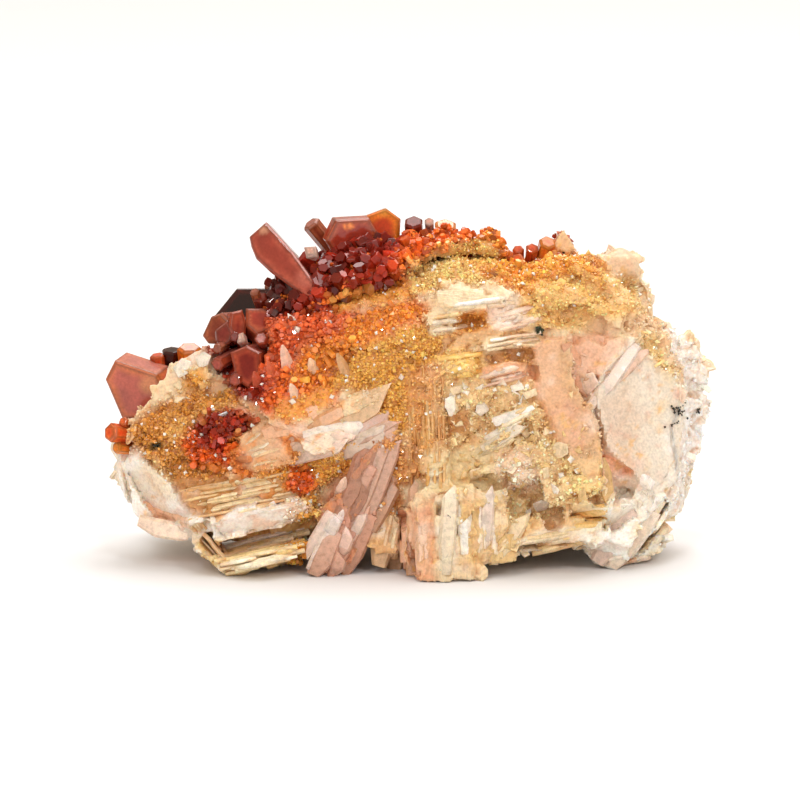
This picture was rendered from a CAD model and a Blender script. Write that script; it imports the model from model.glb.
"""Vanadinite crystals on a baryte matrix: the looks built over the specimen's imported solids.

Laid out as an add-on and run as a script. Sizes are millimetres on a front elevation that leans
back by LEAN, as (across, back, up); row() turns them into metres in the row frame. Places on the
specimen's front are also given in squares of that elevation's grid, counted right and down, and an
outline there is a string of such pairs.
"""

import math
import random

import bmesh
import bpy
import numpy as np
from bpy.props import FloatProperty, FloatVectorProperty, IntProperty, PointerProperty
from bpy.types import NodeSocket, Operator, Panel, PropertyGroup
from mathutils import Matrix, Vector
from mathutils.bvhtree import BVHTree
from mathutils.kdtree import KDTree


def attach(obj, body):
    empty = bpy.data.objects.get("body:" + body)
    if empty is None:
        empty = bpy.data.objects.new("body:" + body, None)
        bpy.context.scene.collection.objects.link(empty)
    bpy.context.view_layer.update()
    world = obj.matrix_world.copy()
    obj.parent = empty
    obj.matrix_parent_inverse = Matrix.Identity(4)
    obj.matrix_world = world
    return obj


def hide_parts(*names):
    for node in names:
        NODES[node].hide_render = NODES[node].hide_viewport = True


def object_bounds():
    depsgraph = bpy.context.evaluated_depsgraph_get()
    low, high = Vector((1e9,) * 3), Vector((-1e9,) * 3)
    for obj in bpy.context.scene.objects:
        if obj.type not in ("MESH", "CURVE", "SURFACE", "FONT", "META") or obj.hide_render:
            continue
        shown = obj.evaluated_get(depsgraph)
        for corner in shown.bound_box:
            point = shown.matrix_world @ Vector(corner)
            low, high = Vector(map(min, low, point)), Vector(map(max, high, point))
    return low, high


bl_info = {
    "name": "Vanadinite on Baryte",
    "version": (1, 0, 0),
    "blender": (4, 5, 0),
    "location": "View3D > Sidebar > Specimen",
    "description": "Builds the rock, blades, druse and crystals of a vanadinite specimen over its solids",
    "category": "Object",
}

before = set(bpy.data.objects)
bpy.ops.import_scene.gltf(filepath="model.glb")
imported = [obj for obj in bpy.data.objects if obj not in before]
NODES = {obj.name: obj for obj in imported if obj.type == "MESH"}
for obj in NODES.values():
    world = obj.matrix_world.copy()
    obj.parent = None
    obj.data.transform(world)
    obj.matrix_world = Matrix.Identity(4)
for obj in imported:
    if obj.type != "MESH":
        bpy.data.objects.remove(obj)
CAD_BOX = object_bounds()

MM = 0.001  # metres
LEAN = math.radians(10.0)
# The row frame's origin on the elevation
CENTRE_ACROSS = 0.11
CENTRE_BACK = 5.66
FOOT_DROP = 2.431
FOOT_CLEAR = 0.7  # nothing is strewn lower than this
BOX_PLAY = 0.5  # how far small crystals may stand outside the solids' box
NEARER = -60.0  # a depth well in front of the specimen
# The elevation's grid: one square, the elevation's origin in squares, and squares across a view
SQUARE = 0.1144
GRID_ACROSS = 405.5
GRID_DOWN = 580.0
GRID_WIDE = 800


def linear(hex_colour):
    """A hex colour in sRGB as linear numbers."""
    parts = [int(hex_colour[i:i + 2], 16) / 255 for i in (1, 3, 5)]
    return tuple(c / 12.92 if c <= 0.04045 else ((c + 0.055) / 1.055) ** 2.4 for c in parts)


def tint_of(hex_colour):
    """A hex colour as an array of linear numbers."""
    return np.array(linear(hex_colour))


# Baryte: white where it is clean, shell to rose and sand to tan where it holds more iron
SNOW = "#F6ECE0"
MILK = "#F1E2D0"
CREAM = "#EDD3AC"
STRAW = "#E9C48A"
SAND = "#DFB07A"
TAN = "#C68C4E"
SHELL = "#EFD1BC"
PINK = "#E8B99A"
PEACH = "#E6A87C"
ROSE = "#CC8864"
# Druse: fine vanadinite, from yolk where it is thinnest to maroon where it is thickest
YOLK = "#F5C87C"
GOLD = "#EDAC50"
OCHRE = "#D99240"
UMBER = "#A06A2C"
ORANGE = "#EE7E2C"
FLAME = "#E46020"
RED = "#A62C16"
MAROON = "#7C1A0C"
OLIVE = "#4A4020"

# How each kind of surface is made: facet relief, drusy relief, grains, blades
KINDS = {
    "face": (0.12, 0.0, 0.0, 0.0),
    "sheaf": (0.45, 0.1, 0.03, 0.0),
    "broken": (1.0, 0.1, 0.03, 1.0),
    "coat": (0.6, 0.6, 0.45, 0.25),
    "sugar": (0.6, 0.5, 0.1, 0.0),
    "druse": (0.45, 1.0, 1.0, 0.0),
    "crust": (0.5, 0.8, 0.8, 0.0),
    "pit": (0.3, 0.6, 0.25, 0.0),
}

# What covers the front, from the widest to the smallest: kind, colour, softness of its edge in
# millimetres, outline in squares of the grid
REGIONS = (
    ("left wall", "face", SNOW, 0.8, "112,440 150,436 178,480 200,505 225,548 180,560 120,510"),
    ("wall blush", "face", "#FFF4E8", 1.2, "118,470 150,464 170,492 170,520 130,500"),
    ("left underside", "sheaf", "#FFECD8", 0.7, "150,506 186,520 250,540 232,556 190,548 146,530"),
    ("left lemon edge", "sheaf", "#F6DCA4", 0.5, "141,452 166,452 182,478 186,505 158,496 142,470"),
    ("left brow", "sheaf", CREAM, 0.5, "150,404 163,368 190,348 222,344 226,372 200,392 165,410"),
    ("brow crown", "face", "#EED0B4", 0.5, "172,362 192,350 216,348 214,362 190,368 176,376"),
    ("brow specks", "coat", GOLD, 0.8, "184,372 206,366 214,384 196,392 180,388"),
    ("groove coat", "druse", OCHRE, 0.7,
     "126,426 156,404 196,388 236,388 244,404 206,420 184,440 172,460 148,462 128,444"),
    ("groove floor", "druse", "#E8AC5C", 0.6, "164,428 214,402 236,404 226,414 190,430 172,446"),
    ("hollow rim", "druse", FLAME, 0.6, "178,440 204,420 240,410 262,424 246,450 232,472 196,480 178,466"),
    ("groove foot", "druse", OCHRE, 0.6, "160,446 180,440 196,462 232,468 226,482 176,482 160,466"),
    ("hollow", "crust", RED, 0.5, "196,420 226,408 250,420 248,438 222,452 200,446"),
    ("dark seam", "pit", OLIVE, 0.25, "151,446 158,441 166,444 163,450 153,451"),
    ("dark seam above", "pit", UMBER, 0.3, "214,392 224,390 226,398 216,400"),
    ("plate stack", "sheaf", TAN, 0.5, "172,482 236,476 292,468 300,496 220,512 186,512"),
    ("bright plate", "face", "#FFF8F0", 0.4, "212,522 240,504 300,494 318,506 300,524 220,544"),
    ("lower plates", "sheaf", "#FFD898", 0.5, "196,540 300,522 322,520 306,562 232,578 212,562"),
    ("plate gap", "coat", "#F0C68C", 0.4, "222,548 262,540 268,552 240,562"),
    ("orange clump", "druse", "#F8A23C", 0.5, "276,548 300,536 316,540 310,564 288,567"),
    ("clump above", "druse", "#F8B054", 0.6, "286,498 316,490 322,520 300,528 288,516"),
    ("wedge face", "sheaf", "#DCA46E", 0.3, "238,438 258,421 296,450 302,464 270,472 250,466"),
    ("wedge side", "coat", "#DC7C2C", 0.3, "231,440 240,437 258,476 242,480 232,466"),
    ("wedge foot", "druse", "#E8983A", 0.6, "256,462 300,452 312,462 290,476 262,476"),
    ("fan", "sheaf", CREAM, 0.5, "262,424 300,402 340,388 384,384 402,398 384,424 344,450 300,452"),
    ("fan glow", "sheaf", PEACH, 0.8, "262,430 300,414 312,430 300,450 270,452"),
    ("fan root", "crust", "#F06C2C", 0.7, "246,372 300,366 340,378 336,402 292,418 260,410"),
    ("fan flush", "coat", "#FFB050", 0.8, "280,400 338,384 330,408 296,424 272,418"),
    ("pocket", "druse", "#F6AC50", 0.6, "286,470 340,450 384,428 392,444 360,470 324,486 300,498 286,488"),
    ("pocket ball", "crust", FLAME, 0.4, "290,470 312,468 318,486 300,494 286,486"),
    ("pink blades", "sheaf", ROSE, 0.5,
     "306,566 322,500 356,456 392,424 400,440 386,500 372,530 350,566 326,572"),
    ("brown druse", "druse", "#EBA45C", 0.6, "384,440 402,436 412,480 408,500 384,520 376,490"),
    ("underlip", "sheaf", SAND, 0.6, "356,540 384,516 408,520 412,562 372,556"),
    ("middle slope", "druse", GOLD, 1.0,
     "318,384 360,342 430,318 462,334 458,366 414,404 408,440 384,424 352,392"),
    ("slope gold", "druse", GOLD, 1.0, "400,330 448,318 452,346 420,372 398,362"),
    ("slope orange", "druse", "#F6933A", 1.0,
     "280,384 312,330 372,306 418,296 436,312 390,334 350,356 322,384"),
    ("slope scarlet", "crust", "#EC6C3A", 0.9,
     "232,352 262,314 322,300 356,306 344,332 306,350 290,376 256,400 238,384"),
    ("shoulder fall", "crust", RED, 0.7, "202,340 240,346 262,352 270,392 256,404 236,396 226,372 206,350"),
    ("crest dark", "crust", RED, 0.8,
     "232,300 240,250 300,205 402,200 470,210 452,262 410,286 352,306 300,318 250,322"),
    ("crest deep", "crust", MAROON, 0.9, "296,268 300,222 350,210 380,224 392,256 350,282 312,290"),
    ("crest scarlet", "crust", FLAME, 0.8, "400,250 408,200 490,200 500,250 450,266 416,286 392,276"),
    ("crest shade", "crust", "#4E1008", 0.4, "258,286 284,280 300,290 298,306 272,310"),
    ("crest groove", "coat", "#F4A84C", 0.5, "330,298 372,288 412,280 430,290 384,306 338,312"),
    ("groove line", "pit", "#B8641C", 0.25, "352,294 376,288 406,282 404,287 376,294 354,299"),
    ("column", "coat", "#E6A45C", 0.6, "406,368 446,360 448,470 444,484 408,482"),
    ("column crack", "pit", UMBER, 0.12, "427,484 446,482 462,487 462,490 440,489 427,488"),
    ("column edge", "coat", SAND, 0.5, "434,380 450,384 450,480 432,480"),
    ("yellow boss", "coat", YOLK, 0.5, "434,352 452,344 484,354 480,382 446,386"),
    ("bench", "druse", YOLK, 0.8, "406,268 440,252 492,252 512,268 500,282 440,288 412,296"),
    ("upper ledge", "sheaf", CREAM, 0.5, "432,296 452,284 500,280 520,296 500,308 470,314 428,318"),
    ("ledge front", "sheaf", CREAM, 0.4, "424,318 456,312 456,330 430,334"),
    ("ledge cavity", "pit", OCHRE, 0.4, "452,314 488,311 486,334 456,335"),
    ("ledge pink", "sheaf", SHELL, 0.4, "484,308 524,302 540,312 530,326 490,332"),
    ("under ledge", "sheaf", SAND, 0.5, "440,338 488,330 546,326 544,338 480,344 444,350"),
    ("lower ledge", "sheaf", CREAM, 0.4, "484,340 536,334 540,348 500,354 478,352"),
    ("lower cavity", "pit", TAN, 0.4, "484,352 536,348 536,366 500,372 486,368"),
    ("salmon streak", "sheaf", "#F4B890", 0.4, "480,370 512,364 540,376 520,390 484,384"),
    ("rubble", "coat", "#F2CE96", 0.7, "442,384 480,380 548,380 584,440 600,520 540,532 450,520 444,470"),
    ("rubble pink", "coat", "#FFE0C0", 0.7, "486,452 530,448 540,490 500,500 484,480"),
    ("rubble brown", "pit", TAN, 0.6, "446,412 466,408 470,432 450,436"),
    ("rubble shadow", "pit", "#FFE4AC", 0.4, "510,502 524,500 526,516 512,518"),
    ("great face", "face", PEACH, 0.35,
     "535,346 544,338 563,340 578,388 592,424 602,452 598,470 560,450 546,420 534,392"),
    ("great face edge", "coat", "#DDB27C", 0.6,
     "564,342 580,388 602,450 602,500 580,498 572,460 582,440 566,398 556,356"),
    ("great face foot", "coat", "#FFDC98", 0.7, "560,462 600,452 604,504 576,502 556,484"),
    ("peach recess", "sheaf", PINK, 0.5, "566,336 606,330 622,344 604,372 590,400 578,384"),
    ("right plate", "face", MILK, 0.5,
     "586,388 610,360 628,340 684,384 680,452 672,500 640,506 606,470 600,430"),
    ("plate blush", "face", "#DDB698", 1.6, "592,400 628,380 640,420 632,462 606,456"),
    ("red recess", "sheaf", "#F6BC94", 0.4, "600,456 632,452 632,476 604,480"),
    ("right rim", "sugar", "#FCFAF5", 0.6, "664,322 700,342 716,400 704,470 684,458 684,384 672,350"),
    ("rim lemon", "sugar", "#FDFCFA", 0.8, "684,418 706,430 700,470 676,512 668,500 682,456"),
    ("right slope", "coat", "#EECCA4", 0.8, "604,280 640,284 668,332 686,384 664,372 636,340 612,312"),
    ("slope yolk", "coat", "#F4D090", 0.8, "636,330 656,336 676,372 668,384 648,366"),
    ("top orange", "crust", ORANGE, 0.8, "478,250 490,210 560,200 572,236 566,262 540,282 506,286 482,268"),
    ("top amber", "druse", "#FBA848", 0.9, "480,262 560,240 600,262 622,286 586,306 532,302 496,282"),
    ("top gold", "coat", YOLK, 0.9, "520,290 600,268 640,284 644,310 590,326 540,330 516,312"),
    ("top seam", "pit", "#E8B060", 0.35, "574,262 590,272 612,288 606,292 584,280 570,268"),
    ("black spot", "pit", OLIVE, 0.15, "559,254 565,253 565,258 560,258"),
    ("green specks", "pit", OLIVE, 0.2, "534,330 543,328 543,335 535,336"),
    ("crest end gold", "druse", "#FFC06C", 0.5, "448,244 480,238 500,252 492,268 456,266"),
    ("tooth", "face", "#E8C090", 0.2, "551,252 557,218 569,218 582,250"),
    ("pale knob", "face", "#E4C4A2", 0.6, "602,252 622,244 640,258 640,278 612,278"),
    ("front foot", "sheaf", CREAM, 0.6, "400,488 500,486 512,530 488,584 408,584"),
    ("column foot", "sheaf", "#EAD2A2", 0.8, "424,452 490,444 500,492 424,490"),
    ("foot pink", "sheaf", PEACH, 0.7, "402,510 428,500 434,582 408,584"),
    ("foot straw", "sheaf", STRAW, 0.6, "456,500 482,498 484,560 458,566"),
    ("knuckle", "broken", STRAW, 0.6, "486,528 520,520 516,560 490,566"),
    ("right base", "sheaf", "#EEC48E", 0.6, "512,520 606,500 612,540 560,556 520,552"),
    ("right toes", "sheaf", "#FFFAEC", 0.6, "576,536 600,496 676,490 670,552 606,570 584,562"),
    ("toe gold", "coat", "#FFE8B0", 0.4, "628,526 642,520 650,540 634,544"),
    ("heel", "sugar", "#FCFAF4", 0.5, "668,484 688,484 688,508 670,510"),
)
BASE_COAT = CREAM

# Where parallel plates or fibres show: outline, direction in which they follow one another
# (degrees in the elevation, 90 is up), spacing and depth
STRATA = (
    ("166,470 300,462 318,500 330,530 300,566 200,560 176,500", 103.0, 1.0, 0.34),
    ("100,440 160,440 180,500 150,530", 150.0, 3.2, 0.3),
    ("244,424 400,376 404,400 350,452 262,474", 66.0, 1.3, 0.3),
    ("304,572 330,470 404,424 392,500 360,570", 28.0, 1.5, 0.4),
    ("402,360 450,356 450,484 404,484", 2.0, 0.85, 0.17),
    ("396,486 500,486 514,540 488,590 402,590", -4.0, 1.6, 0.24),
    ("424,280 560,276 560,350 540,384 436,384", 84.0, 1.15, 0.32),
    ("444,384 540,380 560,500 450,500", 64.0, 1.9, 0.2),
    ("512,500 680,484 676,556 600,572 512,560", 112.0, 1.9, 0.3),
    ("476,236 620,240 650,300 560,330 500,300", 60.0, 2.4, 0.34),
)

# Sheaves of baryte plates seen on edge: the lowest or leftmost plate's two ends, the highest or
# rightmost plate's two ends (grid squares), number, how far they stand out and how thick they are
# (millimetres), and the two colours that they run between
SHEAVES = (
    ("plate stack", "200,518 300,498 190,486 290,467", 9, 0.4, 0.55, "#F7E4C0", "#E8C088"),
    ("bright plate foot", "226,552 300,530 222,544 298,522", 2, 0.5, 0.6, SNOW, SHELL),
    ("lower plates", "230,572 300,558 218,552 304,530", 11, 2.8, 0.6, "#FFF6DE", "#F8E0B0"),
    ("gap plates", "228,562 296,548 224,550 298,536", 5, 1.9, 0.5, "#F8E2AE", "#E8C480"),
    ("left fold", "186,516 228,566 198,514 236,560", 4, 0.5, 0.5, "#F8EACB", CREAM),
    ("left base", "150,520 196,536 146,504 190,518", 3, 0.3, 1.1, "#FCE4D4", "#F6CDB2"),
    ("wedge flutes", "246,470 298,462 242,444 262,424", 4, 0.2, 0.7, "#F0DABC", SAND),
    ("column", "410,486 408,366 445,484 443,374", 10, 0.1, 0.4, "#DDA860", "#E6BE88"),
    ("foot left", "406,566 402,506 436,580 432,500", 3, 0.12, 1.5, "#F0C4A6", PINK),
    ("foot middle", "440,582 438,490 470,580 466,488", 3, 0.12, 1.7, SNOW, "#F4E0BC"),
    ("foot right", "474,574 472,500 494,552 496,494", 3, 0.12, 1.4, "#F2DCAE", "#F6E2D4"),
    ("foot side", "378,552 390,506 400,556 404,506", 3, 0.4, 0.8, "#E2B488", "#F0D2AC"),
    ("ledge top", "436,314 528,304 440,306 516,294", 2, 0.3, 0.9, SNOW, CREAM),
    ("ledge front", "430,336 470,330 426,318 458,312", 3, 0.4, 0.6, MILK, STRAW),
    ("ledge right", "488,338 548,322 486,316 530,304", 3, 0.4, 0.7, SHELL, "#F0C6A4"),
    ("lower ledge", "478,354 540,346 484,342 536,334", 3, 0.6, 0.55, "#FFF8EE", "#F6DCB0"),
    ("salmon sheaf", "484,388 534,374 480,374 514,364", 4, 0.4, 0.55, PEACH, "#F8DFCC"),
    ("boss plates", "436,384 482,376 436,356 480,350", 4, 0.4, 0.9, "#F4CC7C", "#EDBB62"),
    ("shards", "482,446 518,426 492,424 532,404", 4, 0.6, 0.45, "#FCF4E2", STRAW),
    ("knuckle plates", "494,560 520,530 486,544 506,520", 3, 0.4, 0.8, CREAM, SAND),
    ("base plates", "522,556 588,540 520,534 590,524", 4, 0.45, 0.8, "#F6E6CC", STRAW),
    ("square slabs", "566,530 606,528 566,506 604,500", 3, 0.3, 1.1, STRAW, YOLK),
    ("right toes", "606,568 648,556 596,560 640,548", 2, 0.4, 0.8, MILK, SHELL),
    ("cream tongue", "640,556 668,530 634,550 664,522", 2, 0.3, 0.9, "#FAEECB", MILK),
    ("toe filling", "640,552 667,514 636,540 661,500", 3, 0.35, 0.9, "#FBF2E0", "#F6E6CE"),
)

# Single blades that stand up from the druse: foot, tip (grid squares), width in millimetres, colour
SPIRES = (
    ("292,378 284,346", 1.5, "#E6B9A0"),
    ("318,380 311,359", 1.5, "#F0C8A4"),
    ("352,384 338,354", 1.4, "#CFA070"),
    ("277,384 270,362", 1.3, "#C8603E"),
    ("300,404 292,384", 1.3, "#F3CDB2"),
    ("262,392 256,372", 1.3, "#B85238"),
    ("340,494 346,476", 1.2, "#E9C6B2"),
    ("336,528 344,508", 1.1, "#F6E4DC"),
    ("648,492 640,474", 2.0, "#F5E8DE"),
)

# Tapered blades that lie on the rock: foot, tip (grid squares), width, how far they stand out
# (millimetres), colour
BLADES = (
    ("292,456 350,438", 2.2, 0.5, "#F4DACA"),
    ("286,444 346,422", 2.0, 0.4, "#F1CBB0"),
    ("312,436 372,426", 1.8, 0.5, "#F8E8DC"),
    ("318,430 350,412", 2.0, 0.5, "#EFB88C"),
    ("268,432 318,412", 1.6, 0.3, "#F0B890"),
    ("336,424 388,396", 1.8, 0.3, "#EBC8A0"),
    ("352,440 398,414", 1.9, 0.5, "#E2B8A4"),
    ("344,452 384,432", 1.4, 0.4, "#F1D8C8"),
    ("330,566 356,506", 2.5, 0.4, "#CE947C"),
    ("312,556 338,508", 2.0, 0.4, "#F0D8CC"),
    ("326,538 338,516", 1.0, 0.8, "#F6E8E2"),
    ("340,552 350,528", 1.0, 0.8, "#EBC6B6"),
    ("352,536 364,510", 0.9, 0.7, "#F2D6CA"),
    ("362,490 374,462", 0.9, 0.6, "#D6A48E"),
    ("336,570 342,552", 1.1, 0.6, "#E8B8A4"),
    ("346,560 372,506", 2.3, 0.3, "#D8A48C"),
    ("318,566 336,528", 1.7, 0.6, "#DDAE98"),
    ("350,506 376,446", 2.6, 0.3, "#BC8870"),
    ("366,508 396,430", 2.4, 0.4, "#DAB09C"),
    ("374,520 396,470", 1.8, 0.2, "#C99A7C"),
    ("380,558 392,514", 1.8, 0.3, "#E2BE98"),
    ("394,560 402,512", 1.6, 0.3, "#DDB088"),
    ("600,556 634,502", 1.8, 0.4, "#F3DCD0"),
    ("612,562 652,510", 1.6, 0.3, "#F4E2D0"),
    ("596,396 634,346", 1.1, 0.25, "#F4E0D4"),
    ("604,392 640,352", 0.9, 0.2, "#EBC8B4"),
    ("566,350 582,396", 1.2, 0.2, "#E6AE8C"),
    ("486,446 520,424", 1.0, 0.5, "#F6EAD6"),
    ("478,452 508,436", 1.0, 0.4, "#EFD8B0"),
    ("150,524 190,534", 1.2, 0.3, "#FFE6D2"),
    ("412,560 415,482", 1.2, 0.02, "#E6B894"),
    ("446,556 450,486", 1.2, 0.02, "#FAEBD2"),
    ("484,530 486,488", 1.2, 0.1, "#FBEBE2"),
    ("500,548 520,512", 1.8, 0.4, "#F0DAB4"),
    ("598,460 606,500", 1.2, 0.2, "#E8C288"),
)

BLADE_WIDE = 1.25  # millimetres

# Specks of black and green ore: place in grid squares, spread in millimetres, number, colour
SPECKS = (
    (680, 412, 1.1, 26, "#1C1A12"),
    (698, 411, 0.4, 6, "#1C1A12"),
    (672, 424, 0.4, 5, "#2A2618"),
    (562, 256, 0.35, 16, "#16130C"),
    (538, 331, 0.5, 24, "#2C3420"),
    (380, 424, 0.35, 7, "#4E6A34"),
    (158, 446, 0.6, 12, "#1E2414"),
    (414, 216, 0.4, 4, "#20301C"),
)

ORE_PROUD = 0.2  # millimetres

# Flat chips that lie on the rubble: outline in grid squares, how far they stand out, colour
CHIPS = (
    ("445,398 454,394 456,412 449,417 444,408", 0.5, MILK),
    ("449,388 462,384 464,392 452,396", 0.4, CREAM),
    ("541,486 550,482 557,488 553,496 542,495", 0.5, MILK),
    ("531,503 540,499 548,502 546,508 535,511", 0.5, MILK),
    ("549,445 556,441 566,444 566,452 557,458 550,453", 0.4, CREAM),
    ("574,487 582,485 584,500 576,501", 0.4, STRAW),
    ("475,404 484,402 488,410 479,416 474,411", 0.4, MILK),
    ("490,418 512,410 531,405 533,409 508,422 494,426", 0.6, SNOW),
    ("482,436 500,426 512,424 504,436 486,444", 0.5, MILK),
    ("540,468 546,466 548,476 541,479", 0.4, CREAM),
    ("519,392 534,388 536,395 524,400", 0.4, CREAM),
    ("508,386 520,382 523,389 512,392", 0.4, MILK),
    ("468,470 480,467 483,475 471,479", 0.4, CREAM),
    ("220,414 229,411 235,418 231,424 223,422", 0.7, "#FFFFFF"),
    ("576,376 590,372 596,384 586,396 578,390", 0.4, SHELL),
    ("174,368 183,358 193,362 190,374 180,378", 0.3, MILK),
    ("196,358 205,352 213,356 209,366 200,369", 0.3, MILK),
)

# Broad cleavage faces of the rock itself: outline in grid squares, how far they stand out, colour
FACES = (
    ("120,462 146,458 172,482 190,512 168,526 132,512", 0.1, "#FFF4E8"),
    ("239,437 259,421 291,450 297,461 268,470 247,468", 0.35, "#E2B68E"),
    ("300,440 312,428 346,428 344,448 318,456 304,452", 0.4, "#F3DCCB"),
    ("340,404 356,392 384,388 380,402 360,414 344,416", 0.45, "#EFD2A8"),
    ("215,524 240,506 296,496 314,504 298,520 226,542", 0.4, "#FFF6EE"),
    ("536,348 545,339 562,341 577,388 590,424 600,452 594,484 574,470 554,432 538,396", 0.2, "#D4AC84"),
    ("592,396 622,356 634,346 676,378 682,430 674,480 650,500 632,476 606,452", 0.3, "#DDD0BE"),
    ("571,346 584,338 604,346 600,370 584,382 574,372", 0.4, "#DAAA88"),
    ("606,338 624,342 612,364 598,380 592,372", 0.3, "#E4BFA4"),
    ("604,508 628,500 640,520 620,552 596,550", 0.35, "#FFF6EE"),
    ("652,494 672,500 668,520 648,546 626,556 636,530", 0.5, "#FFFCEE"),
    ("568,506 604,500 606,528 572,532", 0.35, "#F6E2B6"),
    ("514,540 544,524 592,526 586,540 540,552 516,552", 0.3, "#FBEEDA"),
    ("436,498 456,494 460,552 438,568", 0.3, "#F6E6CC"),
    ("404,512 424,504 430,570 410,572", 0.2, "#E6B896"),
    ("334,512 350,504 354,540 334,564 324,544", 0.4, "#D9A58C"),
    ("352,470 366,452 382,450 374,484 358,500", 0.3, "#C08A6C"),
    ("436,290 456,286 484,292 480,304 450,308 436,302", 0.2, "#E9D4B0"),
)
FACE_CLEAN = 0.6  # the rest is left to the druse that creeps over a face's rim
FACE_LEAST = 12  # a face with fewer points of the rock than this is left as it is
FACE_REACH = 3.0  # the flat ends where the rock lies farther from it than this, in millimetres
STEP_WIDE, STEP_HIGH = 1.3, 0.07  # growth steps on a face, in millimetres
CHIP_WORN = 0.1  # share of each side that is worn off at a corner

# Fields of small loose chips: left, top, right, bottom (grid squares), number, colour
CHIP_FIELDS = (
    (446, 384, 536, 400, 14, MILK),
    (448, 400, 548, 450, 34, CREAM),
    (500, 430, 582, 510, 40, STRAW),
    (452, 450, 520, 500, 20, STRAW),
    (566, 350, 606, 390, 8, PINK),
    (606, 480, 668, 516, 12, MILK),
    (168, 366, 216, 400, 12, CREAM),
)


def row(points):
    """Places on the leaned elevation, in millimetres, as places in the row frame, in metres."""
    p = np.asarray(points, float)
    c, s = math.cos(LEAN), math.sin(LEAN)
    return np.stack([p[:, 0] - CENTRE_ACROSS, p[:, 1] * c + p[:, 2] * s - CENTRE_BACK,
                     p[:, 2] * c - p[:, 1] * s - FOOT_DROP], 1) * MM


def elevation(points):
    """The other way round: row frame, in metres, to the leaned elevation, in millimetres."""
    p = np.asarray(points, float) / MM + (CENTRE_ACROSS, CENTRE_BACK, FOOT_DROP)
    c, s = math.cos(LEAN), math.sin(LEAN)
    return np.stack([p[:, 0], p[:, 1] * c - p[:, 2] * s, p[:, 2] * c + p[:, 1] * s], 1)


def square(across, down):
    """A place on the grid as (across, up) in millimetres."""
    return ((across - GRID_ACROSS) * SQUARE, (GRID_DOWN - down) * SQUARE)


def squares(text):
    """The pairs of grid squares that a string holds."""
    return np.array([[float(n) for n in pair.split(",")] for pair in text.split()])


def ring_of(outline):
    """An outline, written as pairs of grid squares, as (across, up) in millimetres."""
    return np.array([square(*pair) for pair in squares(outline)])


def lattice(cells, seed):
    """A fixed random number from 0 to 1 for each whole-number place."""
    h = cells[:, 0] * 73856093 ^ cells[:, 1] * 19349663 ^ cells[:, 2] * 83492791 ^ seed * 40503
    h = (h ^ (h >> 13)) * 1274126177 & 0x7FFFFFFF
    return ((h ^ (h >> 15)) & 0xFFFFF) / float(0xFFFFF)


def waves(points, size, seed, octaves=2):
    """Smooth noise from -1 to 1 whose lumps are about this size in millimetres."""
    total, weight = np.zeros(len(points)), 0.0
    for octave in range(octaves):
        p = points * (2.0 ** octave / size) + 37.0 * (octave + 1)
        low = np.floor(p).astype(np.int64)
        t = p - low
        t = t * t * (3 - 2 * t)
        value = np.zeros(len(points))
        for corner in range(8):
            step = np.array([corner & 1, corner >> 1 & 1, corner >> 2 & 1])
            share = np.prod(np.where(step, t, 1 - t), 1)
            value += share * lattice(low + step, seed + octave)
        total += (2 * value - 1) * 0.5 ** octave
        weight += 0.5 ** octave
    return total / weight


def inside(outline, places, soft):
    """How far inside an outline each place is: 1 well inside, 0 outside, over an edge this soft."""
    ring = ring_of(outline)
    nearest, crossings = np.full(len(places), 1e9), np.zeros(len(places), int)
    for a, b in zip(ring, np.roll(ring, -1, 0)):
        along = b - a
        t = np.clip(((places - a) @ along) / (along @ along), 0, 1)
        nearest = np.minimum(nearest, np.linalg.norm(places - a - t[:, None] * along, axis=1))
        between = (a[1] > places[:, 1]) != (b[1] > places[:, 1])
        height = np.where(along[1] == 0, 1e-9, along[1])
        crossings += between & (places[:, 0] < a[0] + (places[:, 1] - a[1]) * along[0] / height)
    signed = np.where(crossings % 2 == 1, nearest, -nearest)
    return smooth_step(-soft, soft, signed)


def smooth_step(low, high, value):
    """A smooth ramp from 0, at low and beyond, to 1, at high and beyond."""
    t = np.clip((value - low) / (high - low), 0, 1)
    return t * t * (3 - 2 * t)


# How the edges of the regions wander, broadly and finely: size of a bend, reach, seed
BROAD_WANDER = (1.6, 0.45, 5)
FINE_WANDER = (0.5, 0.22, 15)
FACE_EDGE = 0.15  # softness of a cleavage face's edge
FRONT_BACK = 2.0, 6.0  # how far back the front's relief is full, and where it ends
REAR_BACK = 2.0, 6.5  # how far back the cover of the rear starts, and where it is full
CRUST_LOW = 0.6  # how dark the bed of a crust is, between its crystals


def wander(points, size, reach, seed):
    """Sideways shifts that bend an edge, by up to about this reach."""
    return np.stack([waves(points, size, seed), waves(points, size, seed + 4)], 1) * reach


def lay(colours, hex_colour, share):
    """Changes the colours, each by its share, towards one colour."""
    colours += (tint_of(hex_colour) - colours) * share[:, None]


def redness(colours):
    """How red each colour is: its red over its green."""
    return colours[:, 0] / np.maximum(colours[:, 1], 1e-3)


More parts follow.
